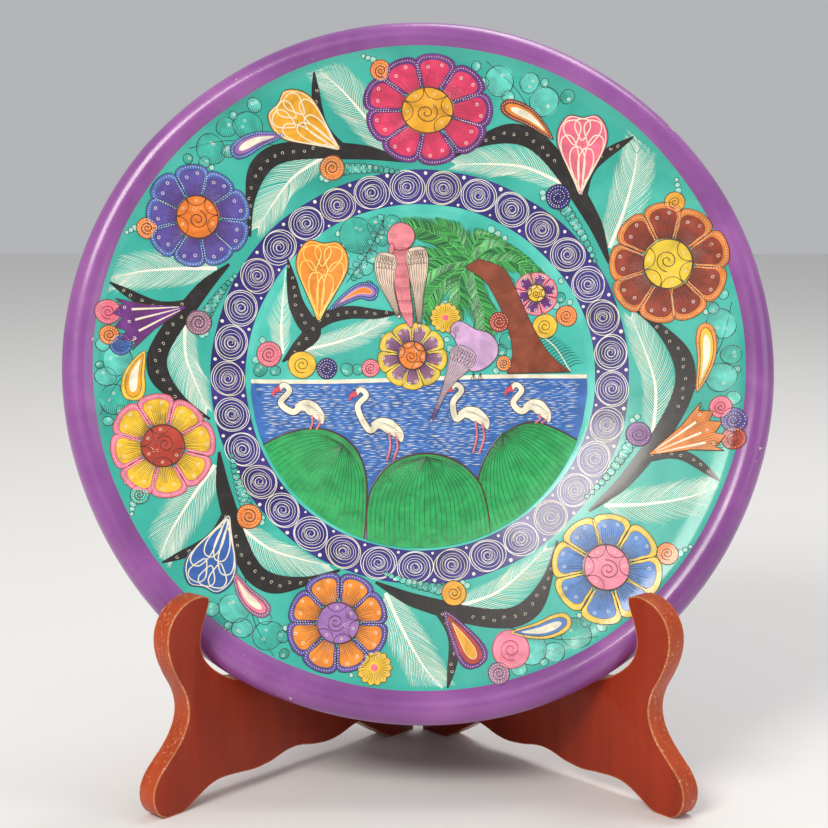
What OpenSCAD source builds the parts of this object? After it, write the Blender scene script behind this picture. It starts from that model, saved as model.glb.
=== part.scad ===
// Souvenir plate: a hand-thrown painted clay plate on a folding two-leaf wooden display stand.
// Millimetres. The viewer stands at -Y, +Z is up, and the plate leans back toward +Y.
// The two stand leaves open in a V from two small brass butt hinges at the back.
// In a leaf's own outline, the first number is the distance from the hinge axis and the second is height.

/* [Plate] */
// Outside diameter of the plate
plate_d = 320; // [300:1:340]
// Radius of the rolled rim
rim_r = 8; // [5:0.5:11]
// Depth of the eating surface behind the rim crest
well_depth = 25; // [18:0.5:32]
// Overall depth of the plate, crest to foot ring
plate_depth = 34; // [28:0.5:40]
// Radius of the flat floor
floor_r = 78; // [60:1:90]
// Radius where the roundel band meets the flange
band_r = 96; // [85:1:110]
// Outer radius of the foot ring
foot_ring_r = 80; // [65:1:95]
// Backward lean of the plate, in degrees
plate_lean = 16; // [10:0.5:22]
// Height of the plate's lowest point above the table
plate_low_z = 35; // [28:0.5:50]

/* [Stand] */
// Thickness of each board
board_t = 10; // [8:0.5:14]
// Angle of each leaf from the centre line, in degrees
leaf_open = 43; // [38:0.5:48]
// Distance of the hinge axis behind the plate's crest centre
hinge_y = 57; // [50:0.5:64]
// Gap left between each leaf's inner face and the plane through the hinge axis
face_gap = 0.3; // [0.2:0.05:0.6]
// Distance of each board's rear end from the hinge axis
board_start = 2.9; // [2.7:0.1:5]

/* [Hinges] */
// Height of each hinge
hinge_h = 24; // [18:1:32]
// Bottom of the lower hinge above the table
hinge_low_z = 24; // [18:1:40]
// Bottom of the upper hinge above the table
hinge_high_z = 108; // [90:1:120]
// Outer radius of the barrel
barrel_r = 2.4; // [2.2:0.1:2.5]
// Radius of the hinge pin
pin_r = 1.1; // [0.9:0.05:1.3]
// Running clearance between the pin and the moving knuckle
pin_clear = 0.06; // [0.02:0.01:0.1]
// Thickness of each hinge plate
hinge_t = 1; // [0.8:0.1:1.5]
// Length of each hinge plate from the axis
hinge_w = 17; // [14:0.5:22]
// Gap between neighbouring knuckles
knuckle_gap = 0.3; // [0.2:0.05:0.5]

/* [Screws] */
// Radius of the countersunk head
head_r = 2.1; // [1.8:0.1:2.5]
// Radius of the shank
shank_r = 1; // [0.8:0.05:1.2]
// Length of each screw
screw_l = 8; // [6:0.5:9]

/* [Hidden] */
R = plate_d / 2;
plate_cz = plate_low_z + R * cos(plate_lean);
fit_gap = 0.05;

// Board outline, in runs. Each run is a smooth curve; runs meet at corners.
run_rear_foot = [[board_start, 0], [19, 0], [25, 3.2], [41, 13.4]];
run_arch = [[41, 13.4], [46, 12.4], [53, 10.2], [61, 9.2], [71, 10.2], [80, 12], [88, 11.6], [97, 9.2],
            [107, 8.2], [117, 9], [127, 9.4], [134, 7.8], [141, 4.2], [146.5, 1.1], [150, 0]];
run_front = [[158, 0], [162, 2.4], [164.6, 7.6], [164.5, 13.6], [161.6, 19.2], [157, 24], [152, 28.9],
             [147.6, 34.6], [145, 41], [144.8, 47.4], [146.7, 53.8], [150.3, 60.2], [153.4, 67],
             [155.1, 74], [154.7, 81], [151.8, 87], [147.4, 91], [142, 93.4], [136.6, 94], [132, 92.6]];
run_notch = [[132, 92.6], [132.2, 89.4], [134.4, 84], [136.6, 78], [137.2, 72], [135.4, 66.4],
             [131.8, 61.8], [127, 57.8], [121, 54.2], [115, 52], [109.6, 52.1], [105.6, 54.9],
             [102.4, 60], [97.6, 67.4], [91, 76.2], [83.6, 85.4], [75.8, 94.2], [67.6, 102.6],
             [60.7, 111], [55.8, 119.2], [51.8, 129], [46.4, 138.8], [40, 147.4], [32.4, 154.4],
             [24, 159.4], [15.4, 161.4], [8.4, 159.6], [4.4, 155], [board_start, 148]];

// A point on the smooth curve through p1 and p2, with p0 and p3 as the neighbours.
function catmull(p0, p1, p2, p3, t) =
    0.5 * (2 * p1 + (p2 - p0) * t + (2 * p0 - 5 * p1 + 4 * p2 - p3) * t * t
           + (3 * p1 - 3 * p2 + p3 - p0) * t * t * t);

// A smooth curve through a run of points, without its last point.
function smooth(p, steps = 3) =
    [for (i = [0 : len(p) - 2], k = [0 : steps - 1])
        catmull(p[max(i - 1, 0)], p[i], p[i + 1], p[min(i + 2, len(p) - 1)], k / steps)];

board_outline = concat(run_rear_foot, smooth(run_arch), [[150, 0]], smooth(run_front), smooth(run_notch),
                       [[board_start, 148]]);

// Distance of the front feet's tips from the hinge axis, and the shift that centres the plan on the origin.
foot_reach = max([for (p = board_outline) p[0]]);
front_y = hinge_y - foot_reach * cos(leaf_open) + face_gap * sin(leaf_open);
back_y = hinge_y - board_start * cos(leaf_open) + (face_gap + board_t) * sin(leaf_open);
shift_y = -(front_y + back_y) / 2;

// Points along a circular arc in the plate's section.
function arc(cx, cy, r, a0, a1, n) = [for (i = [0 : n]) let (a = a0 + (a1 - a0) * i / n)
                                      [cx + r * cos(a), cy + r * sin(a)]];

// Half section of the plate: radius from its centre, and height above the rim crest (negative is behind it).
plate_section = concat(
    [[0, -well_depth], [floor_r - 14, -well_depth], [floor_r - 4, -well_depth + 0.3],
     [floor_r + 2, -well_depth + 1.4], [floor_r + 10, -well_depth + 4.4], [band_r, -18.2],
     [band_r + 12, -15], [band_r + 26, -11], [R - 22, -6.9]],
    arc(R - rim_r, -rim_r, rim_r, 150, -90, 16),
    [[R - 14, -14.8], [R - 26, -17], [R - 46, -21.4], [foot_ring_r + 12, -26.6],
     [foot_ring_r + 3, -29.6], [foot_ring_r, -plate_depth + 1], [foot_ring_r - 1.6, -plate_depth],
     [foot_ring_r - 6.4, -plate_depth], [foot_ring_r - 8, -plate_depth + 1], [foot_ring_r - 10, -31.6],
     [0, -31.6]]);

// Puts a shape drawn about the plate's own axis into place, leaning back.
module plate_frame() {
    translate([0, shift_y, plate_cz]) rotate([90 - plate_lean, 0, 0]) children();
}

// Left leaf's frame: +X runs forward along the leaf from the hinge axis, -Y is its outer side.
module left_frame() {
    translate([0, hinge_y + shift_y, 0]) rotate([0, 0, 270 - leaf_open]) children();
}

// Right leaf's frame is the mirror image.
module right_frame() {
    mirror([1, 0, 0]) left_frame() children();
}

// Heights of one hinge's screws, and how far they sit from the axis.
module screw_places(z0) {
    for (p = [[7.5, 4], [12.5, 12], [7.5, 20]])
        translate([p[0], -face_gap, z0 + p[1]]) rotate([90, 0, 0]) children();
}

// Countersunk wood screw, head flush with its own origin plane, pointing along +Z.
module screw(grow = 0) {
    translate([0, 0, grow > 0 ? -0.5 : 0]) cylinder(r = head_r + grow, h = 0.3 + (grow > 0 ? 0.5 : 0), $fn = 32);
    translate([0, 0, 0.3]) cylinder(r1 = head_r + grow, r2 = shank_r + grow, h = 1.3, $fn = 32);
    translate([0, 0, 1.6]) cylinder(r = shank_r + grow, h = screw_l - 2.8 + grow, $fn = 32);
    translate([0, 0, screw_l - 1.2 + grow]) cylinder(r1 = shank_r + grow, r2 = 0.25 + grow, h = 1.2, $fn = 32);
}

// One leaf's board in its own frame, mortised for the hinge plates and bored for the screws.
module board() {
    difference() {
        translate([0, -face_gap, 0]) rotate([90, 0, 0]) linear_extrude(height = board_t) polygon(board_outline);
        for (z0 = [hinge_low_z, hinge_high_z]) {
            translate([board_start - 1, -face_gap - hinge_t - fit_gap, z0 - 0.1])
                cube([hinge_w - board_start + 1.1, hinge_t + fit_gap + 1, hinge_h + 0.2]);
            screw_places(z0) screw(fit_gap);
        }
    }
}

// A hinge half in its leaf's frame: own knuckles between the given heights, and the screwed plate.
module hinge_half(z0, knuckles, bore_r) {
    difference() {
        union() {
            for (k = knuckles)
                translate([0, 0, z0 + k[0]]) cylinder(r = barrel_r, h = k[1] - k[0], $fn = 48);
            for (k = knuckles)
                translate([pin_r + 0.6, -face_gap - hinge_t, z0 + k[0]])
                    cube([hinge_w / 2, hinge_t, k[1] - k[0]]);
            translate([barrel_r + 0.4, -face_gap - hinge_t, z0])
                cube([hinge_w - barrel_r - 0.4, hinge_t, hinge_h]);
        }
        translate([0, 0, z0 - 1]) cylinder(r = bore_r, h = hinge_h + 2, $fn = 48);
        screw_places(z0) screw(fit_gap);
    }
}

// Outer knuckles belong to the left half, the middle one to the right half.
knuckle_h = hinge_h / 3;
outer_knuckles = [[0, knuckle_h - knuckle_gap / 2], [2 * knuckle_h + knuckle_gap / 2, hinge_h]];
middle_knuckle = [[knuckle_h + knuckle_gap / 2, 2 * knuckle_h - knuckle_gap / 2]];

// Hinge pin with a small domed button at each end.
module pin(z0) {
    translate([0, hinge_y + shift_y, z0]) {
        translate([0, 0, -0.6]) cylinder(r = pin_r, h = hinge_h + 1.2, $fn = 48);
        rotate_extrude($fn = 48) polygon([[0, hinge_h + 0.05], [1.9, hinge_h + 0.05], [1.9, hinge_h + 0.6],
                                          [1.4, hinge_h + 1.2], [0.7, hinge_h + 1.5], [0, hinge_h + 1.6]]);
        rotate_extrude($fn = 48) polygon([[0, -0.05], [1.9, -0.05], [1.9, -0.6], [1.4, -1.2], [0.7, -1.5],
                                          [0, -1.6]]);
    }
}

// Thrown clay plate: rolled rim, sloping flange, banded step, flat floor and a turned foot ring.
module plate() {
    color([0.2, 0.6, 0.55]) plate_frame() rotate_extrude($fn = 144) polygon(plate_section);
}

module left_board() {
    color([0.42, 0.15, 0.09]) left_frame() board();
}

module right_board() {
    color([0.42, 0.15, 0.09]) right_frame() board();
}

module hinge_lower_left() {
    color([0.72, 0.58, 0.3]) left_frame() hinge_half(hinge_low_z, outer_knuckles, pin_r + 0.02);
}

module hinge_upper_left() {
    color([0.72, 0.58, 0.3]) left_frame() hinge_half(hinge_high_z, outer_knuckles, pin_r + 0.02);
}

module hinge_lower_right() {
    color([0.72, 0.58, 0.3]) right_frame() hinge_half(hinge_low_z, middle_knuckle, pin_r + pin_clear);
}

module hinge_upper_right() {
    color([0.72, 0.58, 0.3]) right_frame() hinge_half(hinge_high_z, middle_knuckle, pin_r + pin_clear);
}

module pin_lower() {
    color([0.66, 0.53, 0.28]) pin(hinge_low_z);
}

module pin_upper() {
    color([0.66, 0.53, 0.28]) pin(hinge_high_z);
}

// Six countersunk screws, three to each hinge plate.
module screws_left() {
    color([0.75, 0.62, 0.34]) left_frame() {
        screw_places(hinge_low_z) screw();
        screw_places(hinge_high_z) screw();
    }
}

module screws_right() {
    color([0.75, 0.62, 0.34]) right_frame() {
        screw_places(hinge_low_z) screw();
        screw_places(hinge_high_z) screw();
    }
}

plate();
left_board();
right_board();
hinge_lower_left();
hinge_upper_left();
hinge_lower_right();
hinge_upper_right();
pin_lower();
pin_upper();
screws_left();
screws_right();
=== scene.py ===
import math
import random

import bmesh
import bpy
import numpy as np
from mathutils import Matrix, Vector

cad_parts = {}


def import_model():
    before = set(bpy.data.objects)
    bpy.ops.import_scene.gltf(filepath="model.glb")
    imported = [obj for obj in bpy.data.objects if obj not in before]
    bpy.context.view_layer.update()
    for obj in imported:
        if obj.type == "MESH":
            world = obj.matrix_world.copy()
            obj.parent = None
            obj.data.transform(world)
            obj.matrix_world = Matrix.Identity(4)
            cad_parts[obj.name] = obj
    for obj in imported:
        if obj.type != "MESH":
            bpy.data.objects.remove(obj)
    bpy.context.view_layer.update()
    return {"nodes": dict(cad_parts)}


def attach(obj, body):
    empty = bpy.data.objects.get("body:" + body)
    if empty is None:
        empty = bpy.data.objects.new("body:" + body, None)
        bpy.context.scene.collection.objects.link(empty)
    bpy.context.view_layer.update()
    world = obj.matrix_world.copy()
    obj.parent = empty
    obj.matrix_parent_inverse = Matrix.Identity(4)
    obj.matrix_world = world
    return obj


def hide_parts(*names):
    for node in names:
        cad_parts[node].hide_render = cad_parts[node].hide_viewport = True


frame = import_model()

RNG = random.Random(7)
MM = 0.001
TAU = 2 * math.pi

# ---------------------------------------------------------------- the plate's own frame
# u runs right, v up along the leaning plate, n out of its face, all in millimetres from the crest's centre.
LEAN = math.radians(16)
PLATE_R = 160.0
RIM_R = 8.0
CENTRE_Y = 0.735
CENTRE_Z = 188.802
ROLL_R = PLATE_R - RIM_R         # the middle of the rolled rim's round section
FACE_END = 145.1                 # where the face meets the rolled rim
REST_ANGLES = (145.0, 215.0)     # where the rim sits in the two notches, clockwise from the top


def world(u, v, n):
    """Millimetres in the plate's frame to metres in the row frame."""
    y = CENTRE_Y + v * math.sin(LEAN) - n * math.cos(LEAN)
    z = CENTRE_Z + v * math.cos(LEAN) + n * math.sin(LEAN)
    return np.stack([np.asarray(u) * np.ones_like(y), y, z], -1) * MM


# radius and height of the face: floor, banded step, flange
FRONT = [(0, -25), (60, -25), (72, -24.8), (80, -23.6), (88, -21.0), (97, -17.9), (110, -14.3), (124, -10.6),
         (138, -6.9), (FACE_END, -4.4)]


def thrown_face():
    """Radii and heights of the face with softened corners, fading out over 3 mm to the rim's crest."""
    r = np.arange(0, ROLL_R + 0.01, 0.1)
    h = np.interp(r, *zip(*FRONT))
    h = np.where(r > FACE_END, -RIM_R + np.sqrt(np.maximum(RIM_R ** 2 - (ROLL_R - r) ** 2, 0)), h)
    reach = 60
    blur = np.exp(-0.5 * (np.arange(-reach, reach + 1) / 17.0) ** 2)
    soft = np.convolve(np.pad(h, reach, mode="edge"), blur / blur.sum(), mode="valid")
    return r, np.where(r < ROLL_R - 3, soft, h + (soft - h) * np.clip((ROLL_R - r) / 3, 0, 1))


FACE_RADII, FACE_HEIGHTS = thrown_face()


def front_height(r):
    """The face's height above the rim plane at a radius, in millimetres."""
    return np.interp(r, FACE_RADII, FACE_HEIGHTS)


def warp(u, v, n):
    """The hand-made unevenness: the rim wanders in and out, and the flange rises and dips a little."""
    r = np.hypot(u, v)
    a = np.arctan2(u, v)
    far = np.clip(r / PLATE_R, 0, 1) ** 4
    held = 1.0
    for deg in REST_ANGLES:
        d = np.angle(np.exp(1j * (a - math.radians(deg))))
        held = held * (1 - np.exp(-(d / 0.36) ** 2))
    inward = (0.9 + 0.75 * np.sin(2 * a + 0.7) + 0.42 * np.sin(3 * a + 2.4) + 0.2 * np.sin(5 * a + 4.1)
              + 0.1 * np.sin(9 * a + 1.3)) * held
    k = 1 - np.maximum(inward, 0) * far / PLATE_R
    drop = (0.8 - 0.5 * np.sin(2 * a + 1.9) - 0.22 * np.sin(3 * a + 0.4) - 0.06 * np.sin(11 * a)) * far * held
    return u * k, v * k, n - drop


def lay(uv, h):
    """Points of the painted face: uv in millimetres, h above the bare surface."""
    uv = np.asarray(uv, float)
    r = np.hypot(uv[..., 0], uv[..., 1])
    u, v, n = warp(uv[..., 0], uv[..., 1], front_height(r) + h)
    return world(u, v, n)


def pol(deg, r):
    """Clockwise degrees from the top and a radius, to (u, v)."""
    a = math.radians(deg)
    return np.array([r * math.sin(a), r * math.cos(a)])


# ---------------------------------------------------------------- colours and materials
def rgb(hex_code):
    """Linear colour from a six-digit sRGB code."""
    c = [int(hex_code[i:i + 2], 16) / 255 for i in (0, 2, 4)]
    return tuple((x / 12.92 if x <= 0.04045 else ((x + 0.055) / 1.055) ** 2.4) for x in c) + (1.0,)


def tree(name):
    """A new material with its nodes, links and main shader."""
    m = bpy.data.materials.new(name)
    m.use_nodes = True
    return m, m.node_tree.nodes, m.node_tree.links, m.node_tree.nodes["Principled BSDF"]


def noise(nodes, links, scale, detail=4.0, stretch=(1, 1, 1), turn=(0, 0, 0), distort=0.0):
    """A noise texture on object coordinates, stretched along an axis for streaks."""
    at = nodes.new("ShaderNodeTexCoord")
    mp = nodes.new("ShaderNodeMapping")
    mp.inputs["Scale"].default_value = stretch
    mp.inputs["Rotation"].default_value = turn
    tx = nodes.new("ShaderNodeTexNoise")
    tx.inputs["Scale"].default_value = scale
    tx.inputs["Detail"].default_value = detail
    tx.inputs["Distortion"].default_value = distort
    links.new(at.outputs["Object"], mp.inputs["Vector"])
    links.new(mp.outputs["Vector"], tx.inputs["Vector"])
    return tx.outputs["Fac"]


def ramp(nodes, links, fac, stops):
    """Colours spread over a factor."""
    n = nodes.new("ShaderNodeValToRGB")
    while len(n.color_ramp.elements) < len(stops):
        n.color_ramp.elements.new(0.5)
    for e, (at, colour) in zip(n.color_ramp.elements, stops):
        e.position, e.color = at, colour
    links.new(fac, n.inputs["Fac"])
    return n.outputs["Color"]


def grey(x):
    """An opaque grey for a ramp's stop."""
    return (x, x, x, 1.0)


def mix(nodes, links, fac, a, b, mode="MIX"):
    """Blend of two colours."""
    n = nodes.new("ShaderNodeMix")
    n.data_type, n.blend_type = "RGBA", mode
    n.clamp_result = True
    for key, value in (("Factor", fac), ("A", a), ("B", b)):
        kind = "VALUE" if key == "Factor" else "RGBA"
        socket = [s for s in n.inputs if s.name == key and s.type == kind][0]
        if isinstance(value, (int, float, tuple)):
            socket.default_value = value
        else:
            links.new(value, socket)
    return [s for s in n.outputs if s.type == "RGBA"][0]


def bump(nodes, links, bsdf, height, strength, distance, below=None):
    """Surface relief from a height."""
    n = nodes.new("ShaderNodeBump")
    n.inputs["Strength"].default_value = strength
    n.inputs["Distance"].default_value = distance
    links.new(height, n.inputs["Height"])
    if below:
        links.new(below, n.inputs["Normal"])
    links.new(n.outputs["Normal"], bsdf.inputs["Normal"])
    return n.outputs["Normal"]


def varnish(bsdf, rough=0.38, coat=0.55, coat_rough=0.12):
    """A clear coat over a satin ground."""
    bsdf.inputs["Roughness"].default_value = rough
    bsdf.inputs["Coat Weight"].default_value = coat
    bsdf.inputs["Coat Roughness"].default_value = coat_rough
    bsdf.inputs["Coat IOR"].default_value = 1.48


def ground(name, dark, mid, light, scale=38.0, wear=None):
    """Brushed ground colour under clear varnish: cloudy pigment, fine speckle, uneven brush bump."""
    m, nodes, links, b = tree(name)
    cloud = noise(nodes, links, scale, 5, distort=0.6)
    base = ramp(nodes, links, cloud, [(0.28, rgb(dark)), (0.5, rgb(mid)), (0.74, rgb(light))])
    speck = noise(nodes, links, 900, 3)
    base = mix(nodes, links, ramp(nodes, links, speck, [(0.66, grey(0)), (0.78, grey(0.35))]), base,
               rgb(light))
    if wear:
        chips = noise(nodes, links, 120, 8, distort=1.2)
        base = mix(nodes, links, ramp(nodes, links, chips, [(0.72, grey(0)), (0.735, grey(1))]), base,
                   rgb(wear))
    links.new(base, b.inputs["Base Color"])
    varnish(b)
    rough = noise(nodes, links, 60, 5)
    links.new(ramp(nodes, links, rough, [(0.3, grey(0.3)), (0.7, grey(0.46))]), b.inputs["Roughness"])
    brush = noise(nodes, links, 240, 6, distort=0.4)
    first = bump(nodes, links, b, brush, 0.35, 0.0003)
    bump(nodes, links, b, noise(nodes, links, 26, 3), 0.5, 0.0008, first)
    return m


def pigment(name, code, uneven):
    """Opaque brushed paint. Large fills vary in tone; fine lines are one tone with a brush bump."""
    m, nodes, links, b = tree(name)
    c = rgb(code)
    b.inputs["Base Color"].default_value = c
    if uneven:
        cloud = noise(nodes, links, 150, 5, distort=0.8)
        lo = tuple(x * 0.72 for x in c[:3]) + (1,)
        hi = tuple(min(1, x * 1.22 + 0.012) for x in c[:3]) + (1,)
        links.new(ramp(nodes, links, cloud, [(0.3, lo), (0.5, c), (0.72, hi)]), b.inputs["Base Color"])
    varnish(b, 0.34)
    bump(nodes, links, b, noise(nodes, links, 700, 4), 0.25, 0.0001)
    return m


# ---------------------------------------------------------------- camera, light and stage
CAMERA_AWAY, CAMERA_UP, CAMERA_DOWN = 0.8, math.radians(8), math.radians(9.6)


def placed(name, data):
    """A new object in the scene."""
    o = bpy.data.objects.new(name, data)
    bpy.context.scene.collection.objects.link(o)
    return o


def look_at_camera():
    """The camera, placed where the photograph was taken from."""
    cam = bpy.data.cameras.new("camera")
    cam.sensor_width, cam.lens = 36, 78.4
    cam.clip_start, cam.clip_end = 0.05, 20
    o = placed("camera", cam)
    o.location = (-0.002, CENTRE_Y * MM - CAMERA_AWAY * math.cos(CAMERA_UP),
                  CENTRE_Z * MM + CAMERA_AWAY * math.sin(CAMERA_UP))
    o.rotation_euler = (math.radians(90) - CAMERA_DOWN, 0, 0)
    bpy.context.scene.camera = o


def area(name, at, height, size, power, colour):
    """A soft rectangular light that faces a point over the origin."""
    d = bpy.data.lights.new(name, "AREA")
    d.shape, d.size, d.size_y = "RECTANGLE", size[0], size[1]
    d.energy, d.color = power, colour
    o = placed(name, d)
    o.location = at
    o.rotation_euler = (Vector((0, 0, height)) - Vector(at)).to_track_quat("-Z", "Y").to_euler()


def studio():
    """Lamps, pale floor and backdrop, and plain view settings."""
    bpy.context.scene.view_settings.view_transform = "Standard"
    w = bpy.data.worlds.new("studio")
    bpy.context.scene.world = w
    w.use_nodes = True
    w.node_tree.nodes["Background"].inputs["Color"].default_value = (0.9, 0.92, 0.95, 1)
    w.node_tree.nodes["Background"].inputs["Strength"].default_value = 0.5
    area("key", (-0.9, -1.3, 1.5), 0.18, (0.9, 0.7), 28, (1.0, 0.96, 0.9))
    area("fill", (1.7, -0.9, 0.7), 0.15, (1.2, 1.0), 6, (0.95, 0.97, 1.0))
    area("top", (0.5, 0.5, 1.6), 0.2, (1.2, 0.6), 12, (1.0, 0.98, 0.96))
    me = bpy.data.meshes.new("floor")
    s = 3.0
    me.from_pydata([(-s, -s, 0), (s, -s, 0), (s, s, 0), (-s, s, 0)], [], [(0, 1, 2, 3)])
    floor = placed("floor", me)
    m, nodes, links, b = tree("floor")
    b.inputs["Base Color"].default_value = (0.8, 0.79, 0.77, 1)
    b.inputs["Roughness"].default_value = 0.65
    me.materials.append(m)


# ---------------------------------------------------------------- the thrown plate
WELL_R, BAND_IN, BAND_OUT, PAINT_R = 76.9, 79.8, 95.0, 145.8     # where one ground colour meets the next
BAND_MIDDLE = np.array([0.85, -2.1])     # the painter's band sits a little off the throwing centre
EDGE_MIDDLE = np.array([0.5, 1.2])       # and so does the line where the rim's colour starts


def plate_body():
    """The plate as thrown: dense uneven rings round its axis, with the grounds as separate materials."""
    seg = 384
    well, rim, back = 0, 4, 5     # material slots named below
    radii = sorted(set(list(np.arange(0.6, 146.5, 1.6)) + [WELL_R, BAND_IN, BAND_OUT, PAINT_R, 147, 149, 150,
                                                           151]))
    section = [(r, float(front_height(r))) for r in radii]
    section += [(ROLL_R + RIM_R * math.cos(math.radians(a)), -RIM_R + RIM_R * math.sin(math.radians(a)))
                for a in range(90, -91, -9)]
    section += [(149, -15.5), (146, -14.9), (140, -15.9), (134, -17), (124, -19.2), (114, -21.4), (103, -24),
                (92, -26.8), (85, -29.0), (81.4, -31), (80, -33), (78.8, -33.9), (76, -34), (73.4, -33.9),
                (72.2, -33.2), (71, -32.2), (68, -31.7), (60, -31.6), (40, -31.6), (20, -31.6), (0.6, -31.6)]
    a = np.arange(seg) / seg * TAU
    wander = 0.28 * np.sin(3 * a + 1) + 0.2 * np.sin(7 * a + 2) + 0.12 * np.sin(17 * a)
    rings = []
    for i, (r, n) in enumerate(section):
        rr = np.full(seg, float(r))
        on_face = i < len(radii)
        if on_face:
            for edge, turn in ((WELL_R, 0.0), (BAND_IN, 1.3), (BAND_OUT, 2.9), (PAINT_R, 4.4)):
                shift = np.roll(wander, int(turn * 60)) * (0.7 if edge == PAINT_R else 1.0)
                rr = rr + shift * math.exp(-((r - edge) / 2.6) ** 2)
        near = BAND_MIDDLE * math.exp(-((r - 87) / 16) ** 4)
        near = near + EDGE_MIDDLE * math.exp(-((r - PAINT_R) / 3.6) ** 2)
        near = near if i < len(radii) - 1 else np.zeros(2)
        u, v = rr * np.sin(a) + near[0], rr * np.cos(a) + near[1]
        rings.append(world(*warp(u, v, front_height(np.hypot(u, v)) if on_face else np.full(seg, float(n)))))
    faces, index = [], []
    for i in range(len(rings) - 1):
        r = 0.5 * (section[i][0] + section[i + 1][0])
        if i + 1 < len(radii):
            slot = int(np.searchsorted([WELL_R, BAND_IN, BAND_OUT, PAINT_R], r, side="right"))
        else:
            slot = back if r < 145 and section[i][1] < -14.5 else rim
        for j in range(seg):
            k = (j + 1) % seg
            faces.append((i * seg + j, (i + 1) * seg + j, (i + 1) * seg + k, i * seg + k))
            index.append(slot)
    last = (len(rings) - 1) * seg
    faces += [tuple(range(seg)), tuple(last + j for j in range(seg - 1, -1, -1))]
    index += [well, back]
    me = bpy.data.meshes.new("plate_body")
    me.from_pydata([tuple(c) for c in np.concatenate(rings)], [], faces)
    for m in (ground("ground_well", "2fa596", "3fbfae", "63d0c0"),
              ground("ground_ring", "2fae9e", "45c4b2", "6cd6c6"),
              ground("ground_band", "1f1556", "2c1f78", "41308c", 60),
              ground("ground_flange", "1f9c8c", "30b09e", "4cc2b0", 26),
              ground("rim_paint", "74387f", "8c4894", "a05ca4", 22, "d8c3b0"),
              ground("back_paint", "4a2058", "5f2d6e", "74407f", 24, "9a5a3c")):
        me.materials.append(m)
    me.polygons.foreach_set("material_index", index)
    me.polygons.foreach_set("use_smooth", [True] * len(me.polygons))
    me.validate()
    me.update()
    o = placed("plate_body", me)
    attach(o, "plate")
    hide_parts("plate")


# ---------------------------------------------------------------- the folding stand and its brass
HINGE_Y = 57.735
HINGE_BOTTOMS, HINGE_H = (24, 108), 24
OPEN = math.radians(43)     # between each leaf and the middle plane


def leaf_point(rho, w, z, side):
    """rho forward along a leaf from the hinge axis, w out through its thickness, in mm. side is -1 or 1."""
    x = rho * math.sin(OPEN) + w * math.cos(OPEN)
    y = HINGE_Y - rho * math.cos(OPEN) + w * math.sin(OPEN)
    return Vector((side * x * MM, y * MM, z * MM))


def leaf_axes(side):
    """Unit vectors forward along a leaf and out through its thickness."""
    return (Vector((side * math.sin(OPEN), -math.cos(OPEN), 0)),
            Vector((side * math.cos(OPEN), math.sin(OPEN), 0)))


def every_edge(e):
    """Picks every edge of a mesh."""
    return True


def copy_of(node, name, keep_edge, width, segments, mats, body, smooth=35):
    """A copy of a CAD piece with its chosen sharp edges eased. The eased strips take the last material."""
    bm = bmesh.new()
    bm.from_mesh(frame["nodes"][node].data)
    bmesh.ops.remove_doubles(bm, verts=bm.verts, dist=0.00002)
    bmesh.ops.dissolve_limit(bm, angle_limit=math.radians(0.6), verts=bm.verts, edges=bm.edges)
    for f in bm.faces:
        f.material_index = 0
    bm.normal_update()
    edges = [e for e in bm.edges
             if len(e.link_faces) == 2 and e.calc_face_angle(0) > math.radians(smooth) and keep_edge(e)]
    bmesh.ops.bevel(bm, geom=edges, offset=width * MM, offset_type="OFFSET", segments=segments, profile=0.6,
                    affect="EDGES", clamp_overlap=True, material=len(mats) - 1)
    me = bpy.data.meshes.new(name)
    bm.to_mesh(me)
    bm.free()
    for m in mats:
        me.materials.append(m)
    me.polygons.foreach_set("use_smooth", [True] * len(me.polygons))
    me.set_sharp_from_angle(angle=math.radians(smooth - 7))
    o = placed(name, me)
    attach(o, body)
    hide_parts(node)
    return o


def lacquer(name, light, mid, dark, speckle, worn, coat=0.5):
    """Tinted lacquer over close-grained wood: soft grain, painted shade that darkens it towards the rear, and
    rubbed flecks.
    """
    m, nodes, links, b = tree(name)
    grain = noise(nodes, links, 7, 4, (9, 9, 1.2), distort=1.2)
    base = ramp(nodes, links, grain, [(0.2, rgb(dark)), (0.5, rgb(mid)), (0.82, rgb(light))])
    # painted shade: the colour darkens towards the rear of the stand, as if the back lay in shadow
    at = nodes.new("ShaderNodeTexCoord")
    sep = nodes.new("ShaderNodeSeparateXYZ")
    links.new(at.outputs["Object"], sep.inputs["Vector"])
    depth = nodes.new("ShaderNodeMapRange")
    for key, value in (("From Min", -0.05), ("From Max", 0.045), ("To Min", 0.0), ("To Max", 0.5)):
        depth.inputs[key].default_value = value
    links.new(sep.outputs["Y"], depth.inputs["Value"])
    # blends the painted shade colour in towards the rear
    base = mix(nodes, links, depth.outputs["Result"], base, rgb("3c120c"))
    flecks = noise(nodes, links, 700, 6, distort=0.8)
    patch = noise(nodes, links, 70, 4, distort=0.5)
    both = mix(nodes, links, 1.0, ramp(nodes, links, flecks, [(0.6 - speckle, grey(0)),
                                                              (0.66 - speckle, grey(1))]),
               ramp(nodes, links, patch, [(0.44, grey(0)), (0.62, grey(0.85))]), "MULTIPLY")
    base = mix(nodes, links, both, base, rgb(worn))
    links.new(base, b.inputs["Base Color"])
    varnish(b, 0.42, coat * 0.4, 0.2)
    b.inputs["Specular IOR Level"].default_value = 0.26
    links.new(ramp(nodes, links, patch, [(0.3, grey(0.36)), (0.7, grey(0.52))]), b.inputs["Roughness"])
    first = bump(nodes, links, b, grain, 0.1, 0.0003)
    bump(nodes, links, b, flecks, 0.16, 0.0001, first)
    return m


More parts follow.
